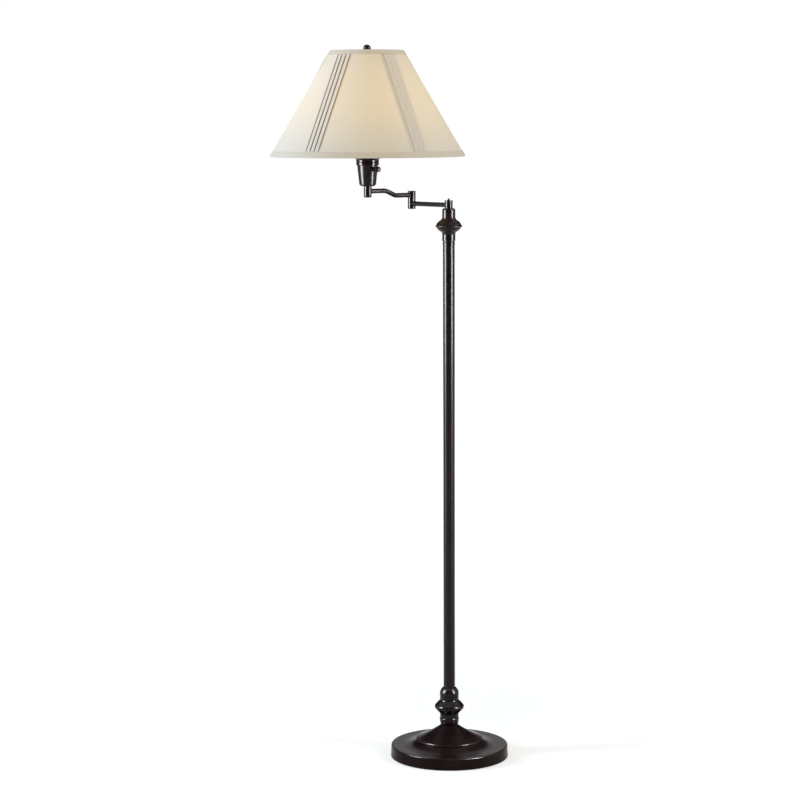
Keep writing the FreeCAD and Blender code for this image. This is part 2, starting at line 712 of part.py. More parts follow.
def elbow_pin():
    """A hollow pin with a head inside the lower sleeve and a journal through the upper one."""
    web_foot = elbow_seam - WEB_THICKNESS
    head = tube(LOCK_NUT_RADIUS, POST_BORE, web_foot - POST_HEAD_HEIGHT, web_foot)
    journal = tube(POST_RADIUS, POST_BORE, web_foot, elbow_upper_foot + nut_stack)
    return joined([head, journal])


def stem_end_cap():
    """The beaded cap under the socket stem, drawn with its plug upwards."""
    bead = STEM_CAP_HEIGHT / 2
    groove = STEM_CAP_HEIGHT - STEM_CAP_GROOVE
    nose = SLEEVE_RADIUS - STEM_CAP_NOSE_RADIUS
    neck = SLEEVE_RADIUS - STEM_CAP_NECK_RADIUS
    return turned(
        (0, 0),
        (STEM_CAP_NOSE_RADIUS, 0),
        ((SLEEVE_RADIUS - nose / 4, bead / 3), (SLEEVE_RADIUS, bead)),
        ((SLEEVE_RADIUS - neck / 4, (bead + groove) / 2), (STEM_CAP_NECK_RADIUS, groove)),
        (STEM_CAP_NECK_RADIUS, STEM_CAP_HEIGHT),
        (SLEEVE_BORE - PLUG_GAP, STEM_CAP_HEIGHT),
        (SLEEVE_BORE - PLUG_GAP, STEM_CAP_HEIGHT + PLUG_DEPTH),
        (0, STEM_CAP_HEIGHT + PLUG_DEPTH),
    )


# ---------------------------------------------------------------- arms


def coped(arm, length, height_at_end):
    """An arm with both ends cut to the sleeves that it is brazed to."""
    reach = ARM_TUBE_RADIUS * 3
    cutter = SLEEVE_RADIUS + BRAZE_GAP
    arm = arm.cut(rod(cutter, -reach, reach))
    return arm.cut(placed(rod(cutter, height_at_end - reach, height_at_end + reach), (length, 0)))


def bent_tube(points, radii):
    path = rounded_path(points, radii)
    return bent_bar(path, ARM_TUBE_RADIUS).cut(bent_bar(path, ARM_TUBE_RADIUS - ARM_TUBE_WALL))


def lower_arm():
    return coped(bent_tube([(0, 0), (LOWER_ARM_LENGTH, 0)], []), LOWER_ARM_LENGTH, 0)


def upper_arm():
    """The outer arm, with the S bend that lifts the socket stem over the pivot when the arm is folded."""
    high_bend_distance = LOW_BEND_DISTANCE + BEND_RUN
    points = [(0, 0), (LOW_BEND_DISTANCE, 0), (high_bend_distance, ARM_RISE), (UPPER_ARM_LENGTH, ARM_RISE)]
    return coped(bent_tube(points, [LOW_BEND_RADIUS, HIGH_BEND_RADIUS]), UPPER_ARM_LENGTH, ARM_RISE)


# ---------------------------------------------------------------- socket cup


def cup_radius(height):
    """Outer radius of the cup's taper at a height above its foot."""
    slope = (CUP_MOUTH_RADIUS - CUP_FOOT_RADIUS) / CUP_TAPER_HEIGHT
    return CUP_FOOT_RADIUS + slope * (height - CUP_FOOT_HEIGHT)


def cup_body(inset):
    foot = inset
    knee = CUP_FOOT_HEIGHT + inset
    top = CUP_FOOT_HEIGHT + CUP_TAPER_HEIGHT
    middle = (CUP_FLAT_RADIUS + (CUP_FOOT_RADIUS - CUP_FLAT_RADIUS) * 0.7, CUP_FOOT_HEIGHT * 0.3)
    return turned(
        (0, foot),
        (CUP_FLAT_RADIUS - inset, foot),
        *bend((middle[0] - inset, middle[1] + inset), (CUP_FOOT_RADIUS - inset, knee), inset > 0),
        (cup_radius(top) - inset, top),
        (0, top),
    )


def switch_hole(radius, height):
    start = SOCKET_BODY_RADIUS - SWITCH_BARREL_DEPTH
    return side_rod(radius, start, SWITCH_BARREL_END, SWITCH_AZIMUTH, height)


def cup_shell():
    shell = cup_body(0).cut(cup_body(CUP_SHEET))
    shell = shell.cut(rod(PIPE_RADIUS + BORE_GAP, -1, CUP_SHEET + 1))
    height = SWITCH_HEIGHT + socket_foot - cup_foot
    return shell.cut(switch_hole(SWITCH_BARREL_RADIUS + SWITCH_HOLE_GAP, height))


def cup_collar():
    """The ring over the cup's mouth: band, groove, second band, flared lip."""
    foot = COLLAR_HEIGHT_ON_CUP
    cup_top = CUP_FOOT_HEIGHT + CUP_TAPER_HEIGHT
    groove_foot = foot + COLLAR_BAND_HEIGHT
    groove_top = groove_foot + COLLAR_GROOVE_HEIGHT
    lip_foot = groove_top + COLLAR_UPPER_HEIGHT
    lip_top = lip_foot + LIP_RISE
    groove_radius = COLLAR_RADIUS - COLLAR_GROOVE_DEPTH
    inner_foot = cup_radius(foot) + COLLAR_FIT
    flare = LIP_RADIUS - COLLAR_RADIUS
    lip_middle = (COLLAR_RADIUS + flare * 0.35, lip_foot + LIP_RISE * 0.62)
    round_middle = COLLAR_EDGE_ROUND * 0.3
    return turned(
        (inner_foot, foot),
        (COLLAR_RADIUS - COLLAR_EDGE_ROUND / 2, foot),
        ((COLLAR_RADIUS - round_middle / 2, foot + round_middle), (COLLAR_RADIUS, foot + COLLAR_EDGE_ROUND)),
        (COLLAR_RADIUS, groove_foot),
        (groove_radius, groove_foot + COLLAR_GROOVE_HEIGHT / 2),
        (COLLAR_RADIUS, groove_top),
        (COLLAR_RADIUS, lip_foot),
        (lip_middle, (LIP_RADIUS, lip_top)),
        (LIP_RADIUS, lip_top + LIP_THICKNESS),
        (lip_middle[0] - LIP_THICKNESS / 2, lip_middle[1] + LIP_THICKNESS),
        (COLLAR_BORE, lip_foot),
        (COLLAR_BORE, cup_top),
    )


def harp_saddle():
    """A bent strip: foot under the lampholder, two arms up inside the cup, a peg on each arm."""
    foot = SADDLE_FOOT_HALF
    knee_height = SADDLE_KNEE_HEIGHT
    slope_height = knee_height + SADDLE_SLOPE_HEIGHT
    ear_height = slope_height + EAR_HEIGHT
    wall = SADDLE_THICKNESS
    half = [(foot, 0), (SADDLE_KNEE_HALF, knee_height), (EAR_HALF, slope_height), (EAR_HALF, ear_height)]
    inner = [(x - wall, max(z, wall)) for x, z in half]
    right = half + inner[::-1]
    left = [(-x, z) for x, z in inner + half[::-1]]
    points = [Vector(x, -SADDLE_WIDTH / 2, z) for x, z in right + left]
    strip = Part.Face(Part.makePolygon(points + [points[0]])).extrude(Vector(0, SADDLE_WIDTH, 0))
    foot_plate = rod(SADDLE_FOOT_RADIUS, 0, wall)
    peg = rod(HARP_WIRE_RADIUS, ear_height - EAR_HEIGHT, ear_height + PEG_HEIGHT)
    pegs = [placed(peg, (side * peg_distance, 0)) for side in (-1, 1)]
    return joined([strip, foot_plate] + pegs).cut(rod(PIPE_RADIUS + BORE_GAP, -1, wall + 1))


def harp():
    """One wire loop, from foot to foot, that carries the shade over the bulb."""
    leg = HARP_LEG_HEIGHT
    flare = leg + HARP_FLARE_HEIGHT
    side = flare + HARP_SIDE_HEIGHT
    crown = side + HARP_CROWN_HEIGHT
    left = [(-peg_distance, 0), (-peg_distance, leg), (-HARP_HALF_WIDTH, flare), (-HARP_HALF_WIDTH, side),
            (-HARP_TOP_HALF, crown)]
    right = [(-x, z) for x, z in left[::-1]]
    radii = [HARP_LOW_BEND, HARP_LOW_BEND, HARP_SHOULDER_BEND, HARP_TOP_BEND]
    return bent_bar(rounded_path(left + right, radii + radii[::-1]), HARP_WIRE_RADIUS)


def harp_ferrule(side):
    """The sleeve that slides over a peg and the foot of the harp; side is -1 or 1."""
    ferrule = tube(FERRULE_RADIUS, HARP_WIRE_RADIUS + PLUG_GAP, 0, FERRULE_LENGTH)
    return placed(ferrule, (side * peg_distance, 0))


def harp_stud():
    """The boss crimped on the harp's crown, with the threaded stud for the finial."""
    half = STUD_BOSS_HEIGHT / 2
    boss = rod(STUD_BOSS_RADIUS, -half, half)
    stud = rod(STUD_RADIUS, half - 1, half + STUD_LENGTH)
    reach = STUD_BOSS_RADIUS + 1
    hole = side_rod(HARP_WIRE_RADIUS + THREAD_GAP, -reach, reach, 0, 0)
    return joined([boss, stud]).cut(hole)


# ---------------------------------------------------------------- lampholder, switch and bulb


def socket_body():
    head_foot = SOCKET_BODY_HEIGHT + SOCKET_STEP_HEIGHT
    top = head_foot + SOCKET_HEAD_HEIGHT
    well_floor = SOCKET_BODY_HEIGHT + SOCKET_FLOOR_THICKNESS
    well = SCREW_SHELL_RADIUS + SHELL_FIT
    body = turned(
        (0, 0),
        (SOCKET_BODY_RADIUS, 0),
        (SOCKET_BODY_RADIUS, SOCKET_BODY_HEIGHT),
        (SOCKET_HEAD_RADIUS, head_foot),
        (SOCKET_HEAD_RADIUS, top),
        (well, top),
        (well, well_floor),
        (0, well_floor),
    )
    body = body.cut(rod(PIPE_RADIUS + THREAD_GAP, -1, SOCKET_HUB_DEPTH))
    return body.cut(switch_hole(SWITCH_BARREL_RADIUS + THREAD_GAP, SWITCH_HEIGHT))


def bulb_base():
    button = BULB_BUTTON_HEIGHT
    return turned(
        (0, 0),
        (BULB_BUTTON_RADIUS, 0),
        (BULB_BASE_RADIUS - BULB_BASE_EDGE, button),
        (BULB_BASE_RADIUS, button + BULB_BASE_EDGE),
        (BULB_BASE_RADIUS, BULB_BASE_HEIGHT),
        (0, BULB_BASE_HEIGHT),
    )


def bulb_body(inset):
    """The pear-shaped glass as a full solid, drawn in by the inset."""
    centre = BULB_GLOBE_HEIGHT
    radius = BULB_GLOBE_RADIUS - inset
    neck = BULB_NECK_RADIUS - inset
    tangent = math.radians(-36)
    upper = math.radians(27)
    joint = (radius * math.cos(tangent), centre + radius * math.sin(tangent))
    shoulder = (neck + (joint[0] - neck) * 0.34, BULB_NECK_HEIGHT + (joint[1] - BULB_NECK_HEIGHT) * 0.48)
    return turned(
        (0, inset),
        (neck, inset),
        (neck, BULB_NECK_HEIGHT),
        (shoulder, joint),
        ((radius * math.cos(upper), centre + radius * math.sin(upper)), (0, centre + radius)),
    )


def switch_barrel():
    """The threaded barrel of the switch, from the lampholder out through the cup."""
    start = SOCKET_BODY_RADIUS - SWITCH_BARREL_DEPTH
    barrel = side_rod(SWITCH_BARREL_RADIUS, start, SWITCH_BARREL_END, 0, 0)
    bore = side_rod(SWITCH_SHAFT_RADIUS + SWITCH_SHAFT_GAP, start - 1, SWITCH_BARREL_END + 1, 0, 0)
    return barrel.cut(bore)


def switch_nut():
    """A round nut on the barrel, coped to the cup."""
    nut = side_rod(SWITCH_NUT_RADIUS, CUP_FLAT_RADIUS, SWITCH_NUT_END, 0, 0)
    nut = nut.cut(side_rod(SWITCH_BARREL_RADIUS + THREAD_GAP, 0, SWITCH_NUT_END + 1, 0, 0))
    return nut.cut(placed(cup_body(-BRAZE_GAP), up=cup_foot - switch_axis_height))


def switch_knob():
    """A round fluted knob with a slightly domed face, drawn on the X axis."""
    length = KNOB_END - KNOB_START
    rim = length - KNOB_FACE_DOME
    face = KNOB_RADIUS - KNOB_EDGE
    ball = (face ** 2 + KNOB_FACE_DOME ** 2) / (2 * KNOB_FACE_DOME)
    face_middle = (face / 2, length - ball + math.sqrt(ball ** 2 - face ** 2 / 4))
    knob = turned(
        (0, 0),
        (face, 0),
        (KNOB_RADIUS, KNOB_EDGE),
        (KNOB_RADIUS, rim - KNOB_EDGE),
        (face, rim),
        (face_middle, (0, length)),
    )
    knob = knob.cut(rod(SWITCH_SHAFT_RADIUS + THREAD_GAP, -1, length - KNOB_FACE_THICKNESS))
    for i in range(KNOB_FLUTES):
        at = polar(KNOB_RADIUS + KNOB_FLUTE_RADIUS / 2, 360.0 * i / KNOB_FLUTES)
        knob = knob.cut(placed(rod(KNOB_FLUTE_RADIUS, -1, rim - KNOB_EDGE), at))
    knob.rotate(Vector(0, 0, 0), Vector(0, 1, 0), 90)
    knob.translate(Vector(KNOB_START, 0, 0))
    return knob


def switch_shaft():
    end = KNOB_END - KNOB_FACE_THICKNESS - THREAD_GAP
    return side_rod(SWITCH_SHAFT_RADIUS, SWITCH_SHAFT_START, end, 0, 0)


# ---------------------------------------------------------------- shade, drawn with its top rim at height 0


def shade_radius(height):
    """Radius of the shade's outermost surface, at a height measured down from its top rim as a negative."""
    return SHADE_TOP_RADIUS - height * (SHADE_BOTTOM_RADIUS - SHADE_TOP_RADIUS) / SHADE_HEIGHT


def cone_band(outset_outer, outset_inner, low, high):
    """A conical ring between two surfaces parallel to the shade's side, measured out from that side."""
    return turned(
        (shade_radius(low) + outset_inner, low),
        (shade_radius(low) + outset_outer, low),
        (shade_radius(high) + outset_outer, high),
        (shade_radius(high) + outset_inner, high),
    )


def shade_cover():
    return cone_band(cover_outer, cover_inner, -cover_outer - SHADE_HEIGHT, cover_outer)


def edge_trim(rim, turn_over, height):
    """A strip folded over one edge of the cover: outer leg, web over the edge, shorter inner leg."""
    slot_inner = fold_inner + TRIM_THICKNESS
    web = rim + turn_over * TRIM_THICKNESS
    outer_leg = rim + turn_over * height
    inner_leg = rim + turn_over * TRIM_FOLD_HEIGHT
    return turned(
        (shade_radius(rim), rim),
        (shade_radius(outer_leg), outer_leg),
        (shade_radius(outer_leg) - TRIM_THICKNESS, outer_leg),
        (shade_radius(web) - TRIM_THICKNESS, web),
        (shade_radius(web) + slot_inner, web),
        (shade_radius(inner_leg) + slot_inner, inner_leg),
        (shade_radius(inner_leg) + fold_inner, inner_leg),
        (shade_radius(rim) + fold_inner, rim),
    )


def frame_ring_radius(height):
    """Middle radius of a frame wire that lies inside the folded trim at a height."""
    slope = (SHADE_BOTTOM_RADIUS - SHADE_TOP_RADIUS) / SHADE_HEIGHT
    stand_off = FRAME_WIRE_RADIUS * math.sqrt(1 + slope * slope)
    return shade_radius(height) + fold_inner - stand_off - FRAME_GAP


def frame_ring(height):
    """A frame wire bent to a ring, with an eight-sided section so that it stays light."""
    centre = (frame_ring_radius(height), height)
    section = [polar(FRAME_WIRE_RADIUS, 22.5 + 45 * i, centre) for i in range(8)]
    return turned(*section)


def pleat_band():
    """One band of knife pleats on the cover, along the X side, of the same width from rim to rim."""
    low = BOTTOM_TRIM_HEIGHT - SHADE_HEIGHT
    high = -TOP_TRIM_HEIGHT
    fold = BAND_WIDTH / BAND_FOLDS
    front = []
    back = [(BAND_WIDTH / 2, FOLD_BACK)]
    for i in range(BAND_FOLDS):
        start = (i - BAND_FOLDS / 2) * fold
        front += [(start, FOLD_LOW), (start + fold, FOLD_HIGH)]
        back += [(-start - fold / 2, FOLD_BACK), (-start - fold, FOLD_BACK)]
    sections = []
    for i in range(BAND_SECTIONS):
        height = low + (high - low) * i / (BAND_SECTIONS - 1)
        surface = shade_radius(height) + cover_outer
        points = []
        for along, out in front + back:
            x, y = polar(surface + out, math.degrees(along / surface))
            points.append(Vector(x, y, height))
        sections.append(Part.makePolygon(points + [points[0]]))
    return Part.makeLoft(sections, True, True)


def pleat_bands():
    """The bands: two at the front a little closer together, the others spread evenly over the rest."""
    band = pleat_band()
    spacing = (360.0 - FRONT_BAND_SPACING) / (PLEAT_BANDS - 1)
    first = FRONT_BANDS_AZIMUTH + FRONT_BAND_SPACING / 2
    return Part.makeCompound([placed(band, turn=first + spacing * i) for i in range(PLEAT_BANDS)])


ring_height = -TRIM_THICKNESS - FRAME_WIRE_RADIUS - FRAME_GAP


def spider_fitter():
    """The washer on the harp, three arms that rise to the top ring, and the ring, welded together."""
    floor = -SPIDER_RECESS
    middle = floor + HUB_THICKNESS / 2
    hub = tube(HUB_RADIUS, STUD_RADIUS + HUB_HOLE_GAP, floor, floor + HUB_THICKNESS)
    ring = (frame_ring_radius(ring_height), ring_height)
    points = [(HUB_RADIUS - FRAME_WIRE_RADIUS, middle), (SPIDER_FLAT_RADIUS, middle), ring]
    arm = bent_bar(rounded_path(points, [SPIDER_BEND]), FRAME_WIRE_RADIUS)
    arms = [placed(arm, turn=SPIDER_ARM_AZIMUTH + 360.0 * i / SPIDER_ARMS) for i in range(SPIDER_ARMS)]
    return joined([hub, frame_ring(ring_height)] + arms)


def finial():
    neck_top_height = FINIAL_BALL_HEIGHT - math.sqrt(FINIAL_BALL_RADIUS ** 2 - FINIAL_NECK_RADIUS ** 2)
    hole = STUD_RADIUS + THREAD_GAP
    return turned(
        (hole, 0),
        (FINIAL_BASE_RADIUS, 0),
        (FINIAL_BASE_RADIUS, FINIAL_BASE_HEIGHT),
        (FINIAL_NECK_RADIUS, FINIAL_BASE_HEIGHT * 1.5),
        (FINIAL_NECK_RADIUS, neck_top_height),
        ((FINIAL_BALL_RADIUS, FINIAL_BALL_HEIGHT), (0, FINIAL_BALL_HEIGHT + FINIAL_BALL_RADIUS)),
        (0, FINIAL_HOLE_DEPTH),
        (hole, FINIAL_HOLE_DEPTH),
    )


# ---------------------------------------------------------------- the pieces, each where it belongs


def column_pieces():
    pipe_top = pole_foot + PIPE_INTO_POLE
    nipple_foot = pole_top - PIPE_INTO_POLE
    nipple_top = neck_top - POST_INTO_NECK - NIPPLE_GAP
    return {
        "base_pad": base_pad(),
        "base_weight": base_weight(),
        "base_shell": base_shell(),
        "cord_bushing": cord_bushing(),
        "base_washer": tube(WASHER_RADIUS, PIPE_RADIUS + BORE_GAP, nut_top, recess_top),
        "base_nut": hex_nut(HEX_NUT_FLATS, PIPE_RADIUS + THREAD_GAP, nut_foot, nut_top),
        "column_pipe": tube(PIPE_RADIUS, PIPE_BORE, nut_foot - PIPE_BELOW_NUT, pipe_top),
        "lower_vase": placed(lower_vase(), up=base_top),
        "lower_break": placed(lower_break(), up=vase_top),
        "lower_dome": placed(lower_dome(), up=lower_break_top),
        "pole_foot_coupling": placed(coupling(), up=pole_foot),
        "pole_tube": tube(POLE_RADIUS, POLE_RADIUS - POLE_WALL, pole_foot, pole_top),
        "pole_head_coupling": placed(coupling(), up=pole_top - COUPLING_LENGTH),
        "upper_ring": tube(RING_RADIUS, PIPE_RADIUS + BORE_GAP, pole_top, ring_top),
        "upper_nipple": tube(PIPE_RADIUS, PIPE_BORE, nipple_foot, nipple_top),
        "upper_break": placed(upper_break(), up=ring_top),
        "pivot_post": pivot_post(),
        "pivot_nut": placed(lock_nut(WEB_THICKNESS), up=pivot_foot),
        "pivot_washer": placed(slip_washer(), up=neck_top),
    }


def lower_arm_pieces():
    running = POST_RADIUS + POST_RUNNING_GAP
    pivot = sleeve(PIVOT_SLEEVE_HEIGHT, 0, running, PIVOT_ARM_HEIGHT, LOWER_ARM_AZIMUTH)
    elbow = sleeve(ELBOW_SLEEVE_HEIGHT, ELBOW_SLEEVE_HEIGHT - WEB_THICKNESS, POST_RADIUS + THREAD_GAP,
                   ELBOW_LOWER_ARM_HEIGHT, LOWER_ARM_AZIMUTH + 180)
    return {
        "pivot_sleeve": placed(pivot, up=pivot_foot),
        "pivot_cap": placed(pivot_cap(), up=pivot_foot + PIVOT_SLEEVE_HEIGHT),
        "lower_arm_tube": placed(lower_arm(), turn=LOWER_ARM_AZIMUTH, up=lower_arm_height),
        "lower_elbow_sleeve": placed(elbow, ELBOW, up=elbow_foot),
        "elbow_bottom_cap": placed(turned_over(elbow_cap()), ELBOW, up=elbow_foot),
        "elbow_pin": placed(elbow_pin(), ELBOW),
        "elbow_nut": placed(lock_nut(WEB_THICKNESS), ELBOW, up=elbow_upper_foot),
        "elbow_washer": placed(slip_washer(), ELBOW, up=elbow_seam),
    }


def upper_arm_pieces():
    elbow = sleeve(ELBOW_SLEEVE_HEIGHT, 0, POST_RADIUS + POST_RUNNING_GAP, ELBOW_UPPER_ARM_HEIGHT,
                   UPPER_ARM_AZIMUTH)
    stem = sleeve(STEM_SLEEVE_HEIGHT, STEM_SLEEVE_HEIGHT - WEB_THICKNESS, PIPE_RADIUS + THREAD_GAP,
                  STEM_ARM_HEIGHT, UPPER_ARM_AZIMUTH + 180)
    pipe_top = socket_foot + SOCKET_HUB_DEPTH - PIPE_TOP_GAP
    pipe = tube(PIPE_RADIUS, PIPE_BORE, cup_foot - PIPE_BELOW_CUP, pipe_top)
    cup_nut = hex_nut(HEX_NUT_FLATS, PIPE_RADIUS + THREAD_GAP, cup_foot + CUP_SHEET, saddle_foot)
    contact = rod(CONTACT_RADIUS, shell_floor, shell_floor + CONTACT_THICKNESS)
    shell_foot = shell_floor + SHELL_FIT
    shell_bore = SCREW_SHELL_RADIUS - SCREW_SHELL_SHEET
    screw_shell = tube(SCREW_SHELL_RADIUS, shell_bore, shell_foot, shell_foot + SCREW_SHELL_HEIGHT)
    glass = bulb_body(0).cut(bulb_body(BULB_GLASS))
    return {
        "upper_elbow_sleeve": placed(elbow, ELBOW, up=elbow_upper_foot),
        "elbow_top_cap": placed(elbow_cap(), ELBOW, up=elbow_upper_foot + ELBOW_SLEEVE_HEIGHT),
        "upper_arm_tube": placed(upper_arm(), ELBOW, UPPER_ARM_AZIMUTH, upper_arm_height),
        "socket_stem": placed(stem, HEAD, up=stem_foot),
        "stem_end_cap": placed(stem_end_cap(), HEAD, up=stem_foot - STEM_CAP_HEIGHT),
        "socket_pipe": placed(pipe, HEAD),
        "cup_shell": placed(cup_shell(), HEAD, up=cup_foot),
        "cup_collar": placed(cup_collar(), HEAD, up=cup_foot),
        "cup_nut": placed(cup_nut, HEAD),
        "harp_saddle": placed(harp_saddle(), HEAD, HARP_AZIMUTH, saddle_foot),
        "harp_ferrule_right": placed(harp_ferrule(1), HEAD, HARP_AZIMUTH, peg_foot + FERRULE_OVER_EAR),
        "harp_ferrule_left": placed(harp_ferrule(-1), HEAD, HARP_AZIMUTH, peg_foot + FERRULE_OVER_EAR),
        "harp": placed(harp(), HEAD, HARP_AZIMUTH, harp_foot),
        "harp_stud": placed(harp_stud(), HEAD, HARP_AZIMUTH, harp_top),
        "socket_body": placed(socket_body(), HEAD, up=socket_foot),
        "screw_shell": placed(screw_shell, HEAD),
        "centre_contact": placed(contact, HEAD),
        "switch_barrel": placed(switch_barrel(), HEAD, SWITCH_AZIMUTH, switch_axis_height),
        "switch_nut": placed(switch_nut(), HEAD, SWITCH_AZIMUTH, switch_axis_height),
        "bulb_base": placed(bulb_base(), HEAD, up=bulb_foot),
        "bulb_glass": placed(glass, HEAD, up=bulb_foot + BULB_BASE_HEIGHT),
        "finial": placed(finial(), HEAD, up=finial_foot),
    }


def switch_pieces():
    return {
        "switch_shaft": placed(switch_shaft(), HEAD, SWITCH_AZIMUTH, switch_axis_height),
        "switch_knob": placed(switch_knob(), HEAD, SWITCH_AZIMUTH, switch_axis_height),
    }


def shade_pieces():
    pieces = {
        "shade_cover": shade_cover(),
        "bottom_ring": frame_ring(-SHADE_HEIGHT + TRIM_THICKNESS + FRAME_WIRE_RADIUS + FRAME_GAP),
        "spider_fitter": spider_fitter(),
        "bottom_trim": edge_trim(-SHADE_HEIGHT, 1, BOTTOM_TRIM_HEIGHT),
        "top_trim": edge_trim(0.0, -1, TOP_TRIM_HEIGHT),
        "pleat_bands": pleat_bands(),
    }
    return {name: placed(shape, HEAD, up=shade_top) for name, shape in pieces.items()}


def main():
    os.makedirs("parts", exist_ok=True)
    for group in (column_pieces, lower_arm_pieces, upper_arm_pieces, switch_pieces, shade_pieces):
        for name, shape in group().items():
            shape.exportStep("parts/" + name + ".step")
            print(name, "valid" if shape.isValid() else "INVALID", len(shape.Solids), round(shape.Volume, 1))
    print("elbow axis", [round(v, 3) for v in ELBOW], "head axis", [round(v, 3) for v in HEAD])
    print("heights: neck", neck_top, "switch", switch_axis_height, "shade", shade_bottom, shade_top)


main()
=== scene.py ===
# %% [markdown]
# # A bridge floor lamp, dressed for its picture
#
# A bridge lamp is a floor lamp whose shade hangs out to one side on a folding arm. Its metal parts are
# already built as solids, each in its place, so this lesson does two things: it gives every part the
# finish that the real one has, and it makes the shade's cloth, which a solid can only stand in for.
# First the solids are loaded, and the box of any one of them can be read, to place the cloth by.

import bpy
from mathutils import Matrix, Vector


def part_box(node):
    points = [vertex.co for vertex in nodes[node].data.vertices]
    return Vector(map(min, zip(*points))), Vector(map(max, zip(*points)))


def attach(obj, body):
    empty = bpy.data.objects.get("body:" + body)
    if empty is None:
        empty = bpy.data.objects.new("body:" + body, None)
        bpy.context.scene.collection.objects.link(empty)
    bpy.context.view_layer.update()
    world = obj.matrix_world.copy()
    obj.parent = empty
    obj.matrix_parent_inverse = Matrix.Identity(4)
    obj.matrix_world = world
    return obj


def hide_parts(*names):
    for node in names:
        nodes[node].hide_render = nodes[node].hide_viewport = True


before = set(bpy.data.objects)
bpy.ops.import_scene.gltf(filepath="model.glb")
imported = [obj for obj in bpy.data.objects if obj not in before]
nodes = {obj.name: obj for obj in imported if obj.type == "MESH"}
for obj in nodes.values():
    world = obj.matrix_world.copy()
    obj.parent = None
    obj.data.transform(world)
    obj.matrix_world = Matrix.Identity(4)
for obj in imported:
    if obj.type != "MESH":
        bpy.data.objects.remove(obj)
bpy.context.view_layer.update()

# %% [markdown]
# ## The camera
#
# The photograph was taken from about five metres away with a long lens, a little above the lower rim
# of the shade and looking slightly down. The long lens keeps the pole's sides parallel. A camera in
# Blender looks down its own -Z axis, so it is tipped up from there by a little less than a right
# angle, and then rolled by a fifth of a degree, because the real camera wasn't quite level.

# %% Camera
import math

import bpy
from mathutils import Matrix, Vector

CAMERA_PLACE = (-0.10245, -4.81134, 1.36041)
CAMERA_DOWN = 7.0825
CAMERA_ROLL = -0.2156
LENS = 104.3
SENSOR = 36.0
NEAREST, FARTHEST = 0.05, 60.0

scene = bpy.context.scene
scene.view_settings.view_transform = "Standard"
camera = bpy.data.objects.new("camera", bpy.data.cameras.new("camera"))
scene.collection.objects.link(camera)
tip = Matrix.Rotation(math.radians(90 - CAMERA_DOWN), 4, "X")
roll = Matrix.Rotation(math.radians(CAMERA_ROLL), 4, "Z")
camera.matrix_world = Matrix.Translation(CAMERA_PLACE) @ tip @ roll
camera.data.lens = LENS
camera.data.sensor_width = SENSOR
camera.data.clip_start = NEAREST
camera.data.clip_end = FARTHEST
scene.camera = camera
print("camera at", CAMERA_PLACE, "lens", LENS)

# %% [markdown]
# ## Sums with shader sockets
#
# A finish is a small network of nodes. Written out node by node it is hard to read, so a value that
# leaves a node is wrapped in a class that knows how to add, subtract, multiply and raise to a power.
# Then `1 - mask` makes its Math node by itself. Colours are never fed to a Math node, which would turn
# them grey: they are mixed. All other nodes come from one method, `node`, that takes the type, then
# the settings, then the values and links of the sockets.

# %% Wire and Finish
class Wire:
    """A value or colour on its way between two nodes of a finish."""

    def __init__(self, finish, out):
        self.finish = finish
        self.out = out

    def sum(self, operation, first, second):
        node = self.finish.node("Math", {"operation": operation}, {0: first, 1: second})
        return Wire(self.finish, node.outputs[0])

    def __add__(self, other):
        return self.sum("ADD", self, other)

    def __radd__(self, other):
        return self.sum("ADD", other, self)

    def __sub__(self, other):
        return self.sum("SUBTRACT", self, other)

    def __rsub__(self, other):
        return self.sum("SUBTRACT", other, self)

    def __mul__(self, other):
        return self.sum("MULTIPLY", self, other)

    def __rmul__(self, other):
        return self.sum("MULTIPLY", other, self)

    def __pow__(self, other):
        return self.sum("POWER", self, other)


